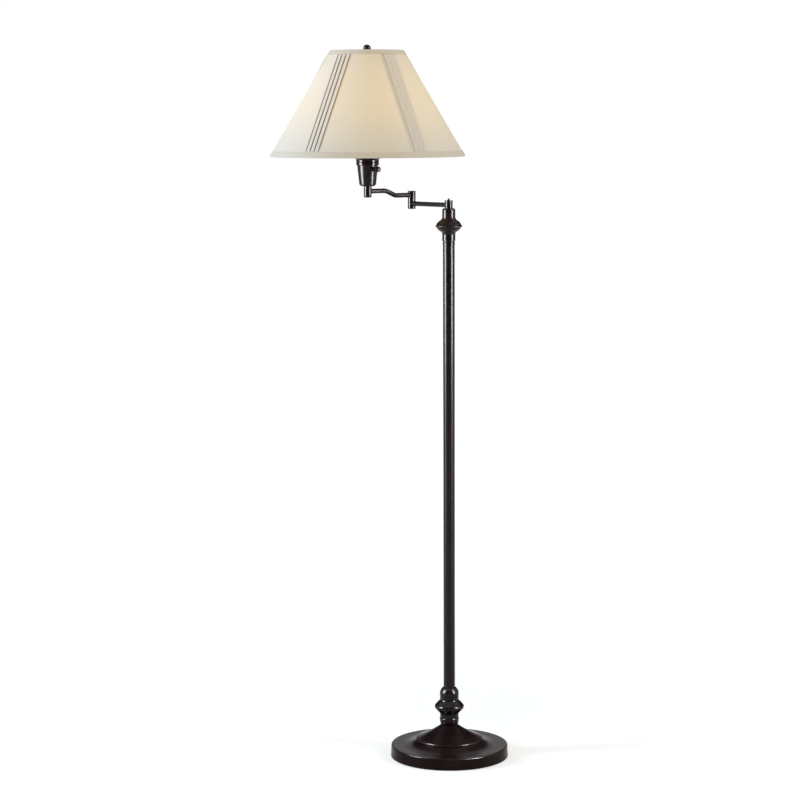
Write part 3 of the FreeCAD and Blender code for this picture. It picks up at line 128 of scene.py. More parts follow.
class Finish:
    """A material in the making. Its shader's plain values are set by name when it is begun."""

    def __init__(self, name, **plain):
        self.material = bpy.data.materials.new(name)
        self.material.use_nodes = True
        self.tree = self.material.node_tree
        self.shader = self.tree.nodes["Principled BSDF"]
        for key, value in plain.items():
            self.shader.inputs[key.title()].default_value = value

    def node(self, kind, settings=None, sockets=None):
        node = self.tree.nodes.new("ShaderNode" + kind)
        for key, value in (settings or {}).items():
            setattr(node, key, value)
        for key, value in (sockets or {}).items():
            self.feed(node.inputs[key], value)
        return node

    def feed(self, socket, value):
        if isinstance(value, Wire):
            self.tree.links.new(value.out, socket)
        else:
            socket.default_value = value

    def set(self, key, value):
        self.feed(self.shader.inputs[key], value)

    def stretched(self, position, scale):
        """A position, squeezed or stretched along its axes."""
        sockets = {"Vector": position, "Scale": scale}
        return Wire(self, self.node("Mapping", None, sockets).outputs[0])

    def place(self, stretch=(1, 1, 1)):
        """The point on the object, in metres, squeezed or stretched along its axes."""
        return self.stretched(Wire(self, self.node("TexCoord").outputs["Object"]), stretch)

    def along(self, place):
        """The three coordinates of a point, each as a value."""
        node = self.node("SeparateXYZ", None, {0: place})
        return [Wire(self, out) for out in node.outputs]

    def noise(self, place, scale, detail=3.0, roughness=0.5):
        sockets = {"Vector": place, "Scale": scale, "Detail": detail, "Roughness": roughness}
        return Wire(self, self.node("TexNoise", None, sockets).outputs[0])

    def wave(self, value, pitch):
        """A sine wave along a value that repeats after one pitch."""
        sockets = {0: value * (2 * math.pi / pitch)}
        return Wire(self, self.node("Math", {"operation": "SINE"}, sockets).outputs[0])

    def ramp(self, value, low, high, start=0.0, end=1.0):
        """A value that goes smoothly from start to end while another goes from low to high."""
        sockets = {0: value, 1: low, 2: high, 3: start, 4: end}
        node = self.node("MapRange", {"interpolation_type": "SMOOTHSTEP"}, sockets)
        return Wire(self, node.outputs[0])

    def mix(self, under, over, mask):
        """One colour over another, by a mask."""
        node = self.node("Mix", {"data_type": "RGBA"}, {0: mask, 6: under, 7: over})
        return Wire(self, node.outputs[2])

    def bump(self, height, distance, strength=1.0):
        sockets = {"Height": height, "Distance": distance, "Strength": strength}
        self.set("Normal", Wire(self, self.node("Bump", None, sockets).outputs[0]))


def srgb(red, green, blue):
    """A colour as a picture shows it, 0 to 255, in the linear values that a shader wants."""
    linear = []
    for value in (red, green, blue):
        value /= 255
        linear.append(value / 12.92 if value <= 0.04045 else ((value + 0.055) / 1.055) ** 2.4)
    return (*linear, 1.0)


print("a mid grey of 128 is", round(srgb(128, 128, 128)[0], 3), "in linear light")

# %% [markdown]
# ## The white backdrop
#
# The lamp stands in a white studio. The backdrop is white because the camera, and rays that metal or
# glass send out, see it at strength 1. Rays that gather light for cloth and floor get a dimmer sky
# instead, so that nothing pale is washed out.

# %% World
def seen_ray(tree):
    """1 for a ray from the camera or from gloss or glass, 0 for one that gathers light."""
    path = tree.nodes.new("ShaderNodeLightPath")
    either = path.outputs["Is Camera Ray"]
    for name in ("Is Glossy Ray", "Is Transmission Ray"):
        largest = tree.nodes.new("ShaderNodeMath")
        largest.operation = "MAXIMUM"
        tree.links.new(either, largest.inputs[0])
        tree.links.new(path.outputs[name], largest.inputs[1])
        either = largest.outputs[0]
    return either


def choose(tree, gathered, shown, end):
    """One shader for rays that gather light and another for rays that see."""
    choice = tree.nodes.new("ShaderNodeMixShader")
    tree.links.new(seen_ray(tree), choice.inputs[0])
    tree.links.new(gathered, choice.inputs[1])
    tree.links.new(shown, choice.inputs[2])
    tree.links.new(choice.outputs[0], end)


SKY = 0.35
WHITE = (1, 1, 1, 1)
world = bpy.data.worlds.new("studio")
scene.world = world
world.use_nodes = True
tree = world.node_tree
shown = tree.nodes["Background"]
gathered = tree.nodes.new("ShaderNodeBackground")
for background, strength in ((shown, 1.0), (gathered, SKY)):
    background.inputs["Color"].default_value = WHITE
    background.inputs["Strength"].default_value = strength
choose(tree, gathered.outputs[0], shown.outputs[0], tree.nodes["World Output"].inputs["Surface"])
print("the sky shows white and gives light at strength", SKY)

# %% [markdown]
# ## The floor
#
# The floor is plain and pale. It has a little light of its own, less near the lamp, so that it is
# white far off and still shows the faint shadow of the base. Its paint is slightly warm, because the
# light that reaches it is slightly cool. It lies a hair lower than the base, because two faces in one
# plane would flicker.

# %% Floor
FLOOR_SIZE = 24
FLOOR_BACK = 4.0
FLOOR_DROP = 0.0003
FLOOR_PAINT = (0.84, 0.8, 0.71, 1)
NEAR, NEAR_LIGHT = 0.25, 0.5
FAR, FAR_LIGHT = 2.2, 0.76
bpy.ops.object.select_all(action="DESELECT")
bpy.ops.mesh.primitive_plane_add(size=FLOOR_SIZE, location=(0, FLOOR_BACK, -FLOOR_DROP))
floor = bpy.context.active_object
floor.name = "floor"
paint = Finish("pale_floor", roughness=0.9)
paint.set("Base Color", FLOOR_PAINT)
paint.set("Specular IOR Level", 0.0)
x, y, _ = paint.along(paint.place())
distance = (x * x + (y + FLOOR_BACK) ** 2) ** 0.5
near, far = (NEAR_LIGHT,) * 3 + (1,), (FAR_LIGHT,) * 3 + (1,)
tree = paint.tree
lit = tree.nodes.new("ShaderNodeEmission")
paint.feed(lit.inputs["Color"], paint.mix(near, far, paint.ramp(distance, NEAR, FAR)))
both = tree.nodes.new("ShaderNodeAddShader")
tree.links.new(paint.shader.outputs[0], both.inputs[0])
tree.links.new(lit.outputs[0], both.inputs[1])
end = tree.nodes["Material Output"].inputs["Surface"]
choose(tree, paint.shader.outputs[0], both.outputs[0], end)
floor.data.materials.append(paint.material)
print("floor", [round(v, 1) for v in floor.dimensions])

# %% [markdown]
# ## The lights
#
# A tall strip of light stands on either side, and a broad weak box hangs overhead. The left strip is
# the stronger one and as blue as daylight, so that side of the shade is nearly white. Little light
# comes from the front, so the middle of the shade keeps the warm colour of its bulb.

# %% Lights
def softbox(name, place, aim, width, height, watts, colour=(1, 1, 1)):
    """A rectangular lamp at a place that faces a point."""
    light = bpy.data.lights.new(name, "AREA")
    light.shape = "RECTANGLE"
    light.size = width
    light.size_y = height
    light.energy = watts
    light.color = colour
    lamp = bpy.data.objects.new(name, light)
    scene.collection.objects.link(lamp)
    lamp.location = place
    lamp.rotation_euler = (Vector(aim) - Vector(place)).to_track_quat("-Z", "Y").to_euler()
    lamp.visible_camera = False
    return lamp


COOL = (0.86, 0.98, 1.28)
DAYLIGHT = (0.71, 0.98, 1.48)
HEAD_AIM = (0, 0, 1.1)
softbox("left_strip", (-2.15, -0.4, 1.25), HEAD_AIM, 0.3, 1.4, 24, DAYLIGHT)
softbox("right_strip", (1.75, -0.9, 1.3), HEAD_AIM, 0.22, 1.3, 13, COOL)
softbox("overhead", (-0.4, -0.9, 3.4), (0, 0, 0.6), 1.8, 1.8, 10)

# %% [markdown]
# ## Dark curtains
#
# In a room that is white all round, dark lacquer looks grey, because it mirrors the whole room. So a
# dark curtain hangs behind the camera, as a photographer would hang one, and one hangs on either side
# of the backdrop, just out of the picture, which keeps the edges of the round metal dark. Only gloss
# sees them: they cast no shadow and take no light from the cloth.

# %% Curtains
def curtain(name, place, width, height):
    """A dark upright plane, by its middle, that only gloss sees."""
    bpy.ops.object.select_all(action="DESELECT")
    bpy.ops.mesh.primitive_plane_add(size=1, location=place, rotation=(math.radians(90), 0, 0))
    plane = bpy.context.active_object
    plane.name = name
    plane.scale = (width, height, 1)
    plane.data.materials.append(drape.material)
    plane.visible_camera = False
    plane.visible_diffuse = False
    plane.visible_transmission = False
    plane.visible_shadow = False


DRAPE = (0.03, 0.03, 0.03, 1)
drape = Finish("dark_drape", roughness=1.0)
drape.set("Base Color", DRAPE)
CURTAINS = [
    ("curtain", (0, -6.5, 4.2), 26, 8.4),
    ("left_flag", (-5.2, 6, 4.0), 7.6, 8.0),
    ("right_flag", (5.2, 6, 4.0), 7.6, 8.0),
]
for row in CURTAINS:
    curtain(*row)
print("curtains:", [row[0] for row in CURTAINS])

# %% [markdown]
# ## Oiled bronze
#
# Nearly all the metal has one finish: steel or zinc, sprayed a very dark brown that is almost black,
# under a glossy clear coat. Up close such a lacquer isn't one colour. Brown shows through in slow
# clouds, the coat has the fine ripple of orange peel, and along some rims, low on the column and on
# the base, it is painted lighter, browner and duller: a guessed rubbing by dusters, and a painted
# sheen along rims that catch the light. The clouds and the ripple are noise in the object's own
# coordinates, which works on any shape. The rims are circles round the Z axis, so the distance of a
# point from such a circle can be worked out, and that gives the mask of rubbing and painted sheen.

# %% Bronze lacquer
# Lighter brown along low rims: guessed rubbing and painted sheen.
RUB_AND_SHEEN = (78, 60, 52)
RUB_FULL, RUB_GONE = 0.0004, 0.0022
RUB_AND_SHEEN_STRENGTH, CLOUD_STRENGTH = 0.4, 0.8
CLOUD_GRAIN, WEAR_GRAIN, STREAK_GRAIN, PEEL_GRAIN = 14.0, 60.0, 160.0, 260.0
CLOUD_DULLS, WEAR_DULLS, STREAK_DULLS = 0.05, 0.06, 0.06
COAT_RIPPLE, BASE_RIPPLE = 0.0000005, 0.000004


def bronze(name, roughness, mirror, light, clouds, rims=(), ripple=COAT_RIPPLE):
    """Dark brown lacquer. Rims are (radius, height) of circles round Z, painted lighter, browner and
    duller as guessed rubbing and painted sheen.
    """
    finish = Finish(name, metallic=0.0)
    finish.set("Specular IOR Level", mirror)
    here = finish.place()
    cloud = finish.ramp(finish.noise(here, CLOUD_GRAIN, 4.0), 0.35, 0.7)
    streak = finish.noise(finish.place((1, 1, 0.08)), STREAK_GRAIN, 2.0)
    base = finish.mix(srgb(*light), srgb(*clouds), CLOUD_STRENGTH * cloud)
    x, y, z = finish.along(here)
    distance = (x * x + y * y) ** 0.5
    rub_and_sheen = None
    for radius, height in rims:
        gap = ((distance - radius) ** 2 + (z - height) ** 2) ** 0.5
        near = finish.ramp(gap, RUB_FULL, RUB_GONE, 1.0, 0.0)
        rub_and_sheen = near if rub_and_sheen is None else rub_and_sheen + near
    dull = roughness + STREAK_DULLS * streak + CLOUD_DULLS * cloud
    # Guessed rubbing and painted sheen: a lighter brown along the rims, which are also made duller.
    if rub_and_sheen is not None:
        rub_and_sheen_patches = finish.ramp(finish.noise(here, WEAR_GRAIN, 3.0), 0.3, 0.65) * rub_and_sheen
        base = finish.mix(base, srgb(*RUB_AND_SHEEN), RUB_AND_SHEEN_STRENGTH * rub_and_sheen_patches)
        dull = dull + WEAR_DULLS * rub_and_sheen_patches
    finish.set("Base Color", base)
    finish.set("Roughness", dull)
    finish.bump(finish.noise(here, PEEL_GRAIN, 2.0), ripple)
    return finish


SMOOTH_COAT = 0.18
GLOSSY_COAT, DULL_COAT = 0.16, 0.038
BROWN, BROWN_CLOUDS = (26, 15, 14), (36, 23, 20)
BASE_BROWN, BASE_CLOUDS = (32, 19, 18), (44, 30, 27)
# Circles painted with the rubbing and the sheen, as (radius, height).
RIMS = [(0.0303, 0.1045), (0.0206, 0.080)]
BASE_RIMS = [(0.1228, 0.0252), (0.0704, 0.0373)]
column_bronze = bronze("column_bronze", SMOOTH_COAT, GLOSSY_COAT, BROWN, BROWN_CLOUDS, RIMS)
arm_bronze = bronze("arm_bronze", SMOOTH_COAT, GLOSSY_COAT, BROWN, BROWN_CLOUDS)
base_bronze = bronze(
    "base_bronze", SMOOTH_COAT, DULL_COAT, BASE_BROWN, BASE_CLOUDS, BASE_RIMS, BASE_RIPPLE
)
print("bronze finishes:", [f.material.name for f in (column_bronze, arm_bronze, base_bronze)])

# %% [markdown]
# ## The plain metals
#
# The hidden nuts, pipes and couplings are zinc plated steel, with a faint crystal pattern and a cool
# grey. The harp, its saddle and the shade's frame are nickel plated. The knuckles' post and pin and
# the lampholder's contacts are brass, the switch's barrel and shaft are brass that was blackened, and
# the bulb's cap is aluminium. These are real metals, so the shader's Metallic is 1, and what varies is
# how rough they are: a drawing die leaves fine lines along a wire, plating leaves patches.

# %% Steel, wire, brass, cast iron
def metal(name, colour, shade, roughness, grain, stretch=(1, 1, 1)):
    """A bare or plated metal, with patches of a second tone and lines or patches in its gloss."""
    finish = Finish(name, metallic=1.0)
    here = finish.place(stretch)
    patch = finish.noise(here, grain, 3.0)
    second = finish.ramp(patch, 0.3, 0.7)
    finish.set("Base Color", finish.mix(srgb(*colour), srgb(*shade), second))
    finish.set("Roughness", roughness + patch * 0.12)
    finish.bump(finish.noise(here, grain * 8, 2.0), 0.00002)
    return finish


zinc = metal("zinc_plate", (196, 198, 200), (168, 172, 178), 0.26, 260.0)
wire = metal("nickel_wire", (205, 200, 190), (176, 170, 158), 0.2, 120.0, (1, 1, 0.15))
brass = metal("turned_brass", (198, 164, 96), (170, 134, 70), 0.24, 300.0, (1, 1, 3))
dark_brass = metal("blackened_brass", (46, 40, 36), (66, 54, 44), 0.26, 160.0)
aluminium = metal("bulb_aluminium", (208, 208, 206), (184, 184, 184), 0.3, 240.0, (1, 1, 3))

iron = Finish("cast_iron", metallic=0.0)
here = iron.place()
sand = iron.noise(here, 420.0, 5.0, 0.65)
iron.set("Base Color", iron.mix(srgb(92, 92, 94), srgb(58, 58, 60), iron.ramp(sand, 0.3, 0.7)))
iron.set("Roughness", 0.62 + sand * 0.2)
iron.bump(sand, 0.0004)
print("metals:", [f.material.name for f in (zinc, wire, brass, dark_brass, aluminium, iron)])

# %% [markdown]
# ## Felt, plastics and glass
#
# The pad under the base is pressed felt: tangled fibres, which are noise stretched two ways, and no
# shine. The cord's bushing is matt black plastic, the turn knob is black and glossy like all moulded
# knobs, and the lampholder is phenolic, a brown black with a soft speckle. The bulb is frosted on the
# inside, so it glows evenly instead of showing its filament.

# %% Felt, plastics, glass
felt = Finish("black_felt", roughness=0.95)
fibres = felt.noise(felt.place((1, 0.15, 1)), 1800.0, 3.0)
fibres = fibres + felt.noise(felt.place((0.15, 1, 1)), 1700.0, 3.0)
felt.set("Base Color", felt.mix(srgb(20, 20, 21), srgb(46, 45, 46), felt.ramp(fibres, 0.7, 1.3)))
felt.bump(fibres, 0.0004)


def plastic(name, colour, speck, roughness, grain, depth):
    """A moulded plastic with a fine speckle and the mould's faint texture."""
    finish = Finish(name)
    finish.set("Specular IOR Level", 0.2)
    here = finish.place()
    grains = finish.noise(here, grain, 4.0)
    specks = finish.ramp(grains, 0.45, 0.75)
    finish.set("Base Color", finish.mix(srgb(*colour), srgb(*speck), specks))
    finish.set("Roughness", roughness + grains * 0.1)
    finish.bump(grains, depth)
    return finish


bushing = plastic("bushing_plastic", (24, 24, 25), (40, 40, 41), 0.5, 900.0, 0.0001)
knob_black = plastic("knob_plastic", (14, 13, 13), (24, 23, 22), 0.16, 300.0, 0.00002)
phenolic = plastic("phenolic", (30, 26, 24), (54, 46, 40), 0.28, 700.0, 0.00004)

glass = Finish("frosted_glass", roughness=0.35)
here = glass.place()
frost = glass.noise(here, 1200.0, 3.0)
glass.set("Base Color", glass.mix(srgb(250, 246, 236), srgb(240, 234, 220), frost))
warmth = glass.noise(here, 20.0)
glass.set("Emission Color", glass.mix(srgb(255, 236, 200), srgb(255, 226, 180), warmth))
glass.set("Emission Strength", 1.6)
glass.bump(frost, 0.00005)
print("others:", [f.material.name for f in (felt, bushing, knob_black, phenolic, glass)])

# %% [markdown]
# ## Each solid gets its finish
#
# A solid arrives with one material slot, named for what it is made of. The column, the arms and the
# base share a slot but not a finish: the column has rubbed rims and the base is duller. So the parts
# of the column and the base are named here. The solids of the cloth are hidden further on, when the
# real cloth replaces them, so it doesn't matter that they get the arm's lacquer.

# %% Assign the finishes
FINISHES = {
    "bronze_finish": arm_bronze,
    "zinc_steel": zinc,
    "wire_steel": wire,
    "brass": brass,
    "blackened_brass": dark_brass,
    "felt": felt,
    "cast_weight": iron,
    "bushing_plastic": bushing,
    "knob_plastic": knob_black,
    "lampholder": phenolic,
    "bulb_cap": aluminium,
    "frosted_glass": glass,
}
COLUMN = ("lower_vase", "lower_break", "lower_dome", "pole_tube", "upper_ring", "upper_break")
slots = {}
for name, node in nodes.items():
    slots[name] = node.material_slots[0].material.name.split(".")[0]
    finish = FINISHES.get(slots[name], arm_bronze)
    if name in COLUMN:
        finish = column_bronze
    if name == "base_shell":
        finish = base_bronze
    for entry in node.material_slots:
        entry.material = finish.material
used = list(slots.values())
print("parts by slot:", {slot: used.count(slot) for slot in FINISHES})

# %% [markdown]
# ## Gleams for the lacquer
#
# Lacquer mirrors only about a hundredth of the light that falls on it, so the two bright lines down
# the column need boxes far brighter than the cloth could bear. A photographer would shade the cloth
# from them with cards. Here light linking does it: a gleam box lights only the lacquered parts, and
# only their gloss. Above they are bright. Down by the floor they are dim, so the lines fade down the
# pole. The base is duller than the column and has stronger boxes of its own, for the lines round its
# bead and rim.

# %% Gleam boxes
def lacquered(name, members):
    """A group of parts that a gleam box lights."""
    group = bpy.data.collections.new(name)
    for member in members:
        group.objects.link(nodes[member])
    return group


def gleam(name, side, level, watts, group):
    """A soft box that is seen in the gloss of one group and nowhere else, aimed a little down."""
    x, y, width = side
    height, tall = level
    lamp = softbox(name, (x, y, height), (0, 0, height - AIM_BELOW), width, tall, watts)
    lamp.visible_diffuse = False
    lamp.light_linking.receiver_collection = group


AIM_BELOW = 0.15
BASE = ["base_shell"]
GLOSSY = [n for n in nodes if slots[n] in ("bronze_finish", "knob_plastic") and n not in BASE]
column_group = lacquered("lacquered_column", GLOSSY)
base_group = lacquered("lacquered_base", BASE)
LEFT, RIGHT = (-2.15, -0.62, 0.85), (1.75, -0.9, 0.5)
HIGH, LOW = (1.4, 1.5), (0.33, 0.6)
GLEAMS = [
    ("left_gleam", LEFT, HIGH, 230, column_group),
    ("right_gleam", RIGHT, HIGH, 180, column_group),
    ("left_gleam_low", LEFT, LOW, 10, column_group),
    ("right_gleam_low", RIGHT, LOW, 5, column_group),
    ("left_base_gleam", LEFT, HIGH, 1400, base_group),
    ("right_base_gleam", RIGHT, HIGH, 1100, base_group),
    ("left_base_low", LEFT, LOW, 9, base_group),
    ("right_base_low", RIGHT, LOW, 3.5, base_group),
]
for row in GLEAMS:
    gleam(*row)
print("gleams on", len(GLOSSY), "parts and the base")

# %% [markdown]
# ## The shade's cone
#
# The shade is a cone of cloth, 16 inches across below, 6 above and 10 along the slope. Cut open and
# laid flat, such a cone is half a ring. Cloth on it is made the way a shade maker makes it: a flat
# sheet is drawn first, and then laid round the cone. `on_cone` does the laying. It takes a direction
# round the lamp's head, a distance up the slope and a distance out from the surface. Cloth that is
# drawn tight and glued pulls the lower rim up a little, so it ends just short of the solid, and the
# flat cut is a hair wider than half a ring.

# %% The cone
RADIUS_BELOW = 0.2032
RADIUS_ABOVE = 0.0762
RIM_LIFT = 0.0024
low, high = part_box("bottom_trim")
FOOT = low.z + RIM_LIFT
HEAD = ((low.x + high.x) / 2, (low.y + high.y) / 2)
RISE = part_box("top_trim")[1].z - FOOT
SLOPE = math.hypot(RADIUS_BELOW - RADIUS_ABOVE, RISE)
INWARD = (RADIUS_BELOW - RADIUS_ABOVE) / SLOPE
UPWARD = RISE / SLOPE


def on_cone(angle, along, out):
    """The point at an angle round the head, a distance up the slope and one out from the cone."""
    radius = RADIUS_BELOW - along * INWARD + out * UPWARD
    x = HEAD[0] + radius * math.cos(angle)
    y = HEAD[1] + radius * math.sin(angle)
    return Vector((x, y, FOOT + along * UPWARD + out * INWARD))


def flat_cut(angle, along, middle):
    """Where that point lies on the flat cloth, in metres, with one panel's middle straight up."""
    reach = RADIUS_BELOW / INWARD - along
    turn = (angle - middle) * INWARD
    return (reach * math.sin(turn), reach * math.cos(turn))


print("slope", round(SLOPE, 4), "of which inward", round(INWARD, 4), "head at", HEAD)

# %% [markdown]
# ## Cloth: a weave, a slub and the light behind it
#
# The cover is a plain weave, thread over thread. Two sine waves across each other, multiplied, give
# the little pillows of such a weave, and noise drawn out along the threads gives the slubs, where a
# thread is thicker. The pattern lies on the flat cut's own coordinates, so the threads follow the
# cloth round the cone. The lit bulb shows through: the glow is strongest at the bulb's height and
# fades towards both rims. It is painted as emission, from height alone, so it stays right when the
# shade is turned.

# %% Cloth finishes
ALONG, ACROSS = (1400.0, 40.0, 1.0), (40.0, 1400.0, 1.0)
WEAVE_PITCH, LINING_PITCH = 0.0007, 0.0005
WEAVE_DEPTH = 0.00012
# Painted shade for the pleats: the dark olive painted in their grooves, and how much it dims the glow
# there.
GROOVE_SHADE_COLOUR = (166, 124, 44)
GROOVE_DIMS = 0.65
GLOW = (0.3, 0.174, 0.014, 1.0)
DARK = (0.0, 0.0, 0.0, 1.0)
GLOW_RISES, GLOW_FULL, GLOW_FADES, GLOW_FADED = -0.02, 0.11, 0.15, 0.25
GLOW_BELOW, GLOW_ABOVE = 0.4, 0.6


def cloth(name, colour, deep, pitch=WEAVE_PITCH, painted_groove_shade=False, glow_scale=1.0):
    """Woven cloth on its own flat coordinates, with a painted glow that depends on height over the rim,
    and painted shade in the grooves of pleats.
    """
    finish = Finish(name, roughness=0.85)
    finish.set("Specular IOR Level", 0.04)
    flat = Wire(finish, finish.node("UVMap", {"uv_map": "flat"}).outputs[0])
    u, v, _ = finish.along(flat)
    weave = finish.wave(u, pitch) * finish.wave(v, pitch) * 0.5 + 0.5
    slub = finish.noise(finish.stretched(flat, ALONG), 1.0, 2.0)
    slub = slub * 0.5 + finish.noise(finish.stretched(flat, ACROSS), 1.0, 2.0) * 0.5
    cloud = finish.noise(flat, 9.0, 3.0)
    base = finish.mix(srgb(*colour), srgb(*deep), finish.ramp(slub, 0.35, 0.7, 0.0, 0.35))
    base = finish.mix(base, srgb(*deep), finish.ramp(cloud, 0.35, 0.75, 0.0, 0.3))
    height = finish.along(finish.place())[2]
    lit = finish.ramp(height, FOOT + GLOW_RISES, FOOT + GLOW_FULL, GLOW_BELOW, 1.0)
    lit = lit * finish.ramp(height, FOOT + GLOW_FADES, FOOT + GLOW_FADED, 1.0, GLOW_ABOVE)
    lit = lit * glow_scale
    # Painted shade: the grooves of the pleats are painted dark olive, and the glow there is dimmed.
    if painted_groove_shade:
        painted = finish.node("Attribute", {"attribute_name": "painted_groove_shade"})
        groove_shade_amount = Wire(finish, painted.outputs["Fac"])
        base = finish.mix(base, srgb(*GROOVE_SHADE_COLOUR), groove_shade_amount)
        lit = lit * (1 - groove_shade_amount * GROOVE_DIMS)
    finish.set("Base Color", base)
    finish.set("Emission Color", finish.mix(DARK, GLOW, lit))
    finish.set("Emission Strength", 1.0)
    finish.bump(weave + slub * 1.2, WEAVE_DEPTH, 0.8)
    return finish


panel_cloth = cloth("panel_cloth", (233, 228, 212), (224, 216, 198))
pleat_cloth = cloth("pleat_cloth", (238, 230, 212), (228, 218, 197), painted_groove_shade=True, glow_scale=0.45)
trim_cloth = cloth("trim_cloth", (241, 227, 198), (231, 215, 184), glow_scale=0.16)
lining_cloth = cloth("lining_cloth", (240, 236, 226), (232, 227, 214), pitch=LINING_PITCH)
print("cloths:", [f.material.name for f in (panel_cloth, pleat_cloth, trim_cloth, lining_cloth)])

# %% [markdown]
# ## The cover and its lining
#
# The cover is stretched over the frame: five panels meet under five bands of pleats. Stretched cloth
# isn't quite a cone, because it is pulled straight between the two wires and dips a little in the
# middle of each panel. It starts as a flat grid, whose points are laid round the cone, and a Solidify
# modifier then gives it the thickness of cloth. The lining is a second sheet just inside it.

# %% Grid, thickness and smoothing
BAND_TURNS = [math.radians(a) for a in (-124.0, -56.0, 17.0, 90.0, 163.0)]
PANEL_SPAN = math.radians(73)
COVER_OUT = -0.00087
LINING_OUT = -0.00150
COVER_DIP = 0.0003
CLOTH_THICK = 0.0004
SHORT_OF_RIM = 0.0012
COLUMNS, ROWS = 180, 20


def panel_middle(angle):
    """The middle of the panel that an angle lies in."""
    turns = BAND_TURNS + [BAND_TURNS[0] + 2 * math.pi]
    for first, second in zip(turns, turns[1:]):
        if first <= angle <= second:
            return (first + second) / 2
    return (turns[-2] + turns[-1]) / 2


def grid(name, columns, rows):
    """A flat grid of points, two metres wide, to be laid in place."""
    bpy.ops.object.select_all(action="DESELECT")
    bpy.ops.mesh.primitive_grid_add(x_subdivisions=columns, y_subdivisions=rows, size=2)
    piece = bpy.context.active_object
    piece.name = name
    return piece


def thicken(piece, thickness, offset=-1.0):
    """Cloth has two faces: a Solidify modifier adds the second, and is applied."""
    bpy.context.view_layer.objects.active = piece
    solid = piece.modifiers.new("thickness", "SOLIDIFY")
    solid.thickness = thickness
    solid.offset = offset
    solid.use_even_offset = True
    bpy.ops.object.modifier_apply(modifier=solid.name)


def smooth(piece, degrees=40):
    """Smooth shading, apart from real edges."""
    bpy.ops.object.select_all(action="DESELECT")
    piece.select_set(True)
    bpy.context.view_layer.objects.active = piece
    bpy.ops.object.shade_smooth_by_angle(angle=math.radians(degrees))


print("bands at", [round(math.degrees(turn)) for turn in BAND_TURNS], "degrees")

# %% [markdown]
# ## Laying the sheets round the cone
#
# Each point of the flat grid gets an angle round the head and a distance up the slope. Where it lies
# on the flat cut is kept as a UV map in metres, for the weave. Then the point moves to the cone, or a
# little deeper in the middle of a panel. The sheet's two ends meet under a band of pleats, which is
# where a shade maker hides the seam, and their points are merged.

# %% Cover and lining
def round_cloth(name, out, dip):
    """A sheet all round the cone, from just above the lower rim to just below the upper one."""
    piece = grid(name, COLUMNS, ROWS)
    mesh = piece.data
    start = BAND_TURNS[0]
    place = []
    for vertex in mesh.vertices:
        angle = start + (vertex.co.x + 1) * math.pi
        along = SHORT_OF_RIM + (vertex.co.y + 1) / 2 * (SLOPE - 2 * SHORT_OF_RIM)
        place.append((angle, along))
    flat = mesh.uv_layers.new(name="flat")
    for face in mesh.polygons:
        middle = sum(place[v][0] for v in face.vertices) / len(face.vertices)
        for loop in face.loop_indices:
            angle, along = place[mesh.loops[loop].vertex_index]
            flat.data[loop].uv = flat_cut(angle, along, panel_middle(middle))
    for vertex, (angle, along) in zip(mesh.vertices, place):
        middle = panel_middle(angle)
        across = math.cos((angle - middle) / PANEL_SPAN * math.pi) ** 2
        sink = dip * across * math.sin(math.pi * along / SLOPE)
        vertex.co = on_cone(angle, along, out - sink)
    bpy.ops.object.mode_set(mode="EDIT")
    bpy.ops.mesh.select_all(action="SELECT")
    bpy.ops.mesh.remove_doubles(threshold=0.00001)
    bpy.ops.mesh.normals_make_consistent(inside=False)
    bpy.ops.object.mode_set(mode="OBJECT")
    thicken(piece, CLOTH_THICK)
    smooth(piece)
    return piece


cover = round_cloth("shade_cloth", COVER_OUT, COVER_DIP)
cover.data.materials.append(panel_cloth.material)
lining = round_cloth("shade_lining", LINING_OUT, 0.0)
lining.data.materials.append(lining_cloth.material)
for piece in (cover, lining):
    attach(piece, "shade")
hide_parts("shade_cover")

# %% [markdown]
# ## Knife pleats
#
# Each band is three knife pleats, a centimetre wide, all turned the same way, with the edge of the
# panel before them folded over the first. A knife pleat is cloth that runs up to a fold, turns under
# and comes back, so that each pleat's nose lies over the foot of the next one. Looked at from the
# open side, the mouths under the noses are dark lines: painted shade, a dark olive painted on each
# nose's underside, in its mouth and on a strip beside it, where the glow is dimmed too. From the other
# side they are hidden, and the band is only a darker stripe, because less light comes through cloth
# that lies threefold. One band is made as grids whose columns follow that folded line, and the others
# are made like it. Each point of a line says how far across the pleat it lies, how far out, and how
# much painted groove shade it carries.

# %% The folded lines
PLEATS = 3
PLEAT = 0.010
PLEAT_LINE = [
    (-0.0022, 0.00010, 1.0),
    (0.0004, 0.00020, 1.0),
    (0.0009, 0.00028, 0.9),
    (0.0015, 0.00038, 0.0),
    (0.0050, 0.00110, 0.0),
    (0.0086, 0.00186, 0.0),
    (0.0095, 0.00196, 0.0),
    (0.0100, 0.00182, 0.1),
    (0.0099, 0.00156, 1.0),
    (0.0090, 0.00138, 1.0),
    (0.0066, 0.00094, 1.0),
]
EDGE_LINE = [
    (0.0040, 0.00004, 0.0),
    (0.0065, 0.00052, 0.0),
    (0.0090, 0.00120, 0.0),
    (0.0095, 0.00128, 0.2),
    (0.0100, 0.00112, 0.6),
    (0.0098, 0.00092, 1.0),
    (0.0082, 0.00064, 1.0),
]
TAIL_LINE = [
    (-0.0014, 0.00008, 1.0),
    (0.0003, 0.00012, 0.9),
    (0.0009, 0.00016, 0.0),
    (0.0018, 0.00010, 0.0),
]
BOTTOM_TRIM, TOP_TRIM = 0.0115, 0.0095
BOTTOM_LEG, TOP_LEG = BOTTOM_TRIM / UPWARD, TOP_TRIM / UPWARD
UNDER_TRIM = 0.003
PRESSED, PRESSED_TO = 0.005, 0.12
FADED, FADED_TO = 0.003, 0.35
BAND_OUT = COVER_OUT + 0.00012
STRIP_ROWS = 40
PLEAT_THICK = 0.0002


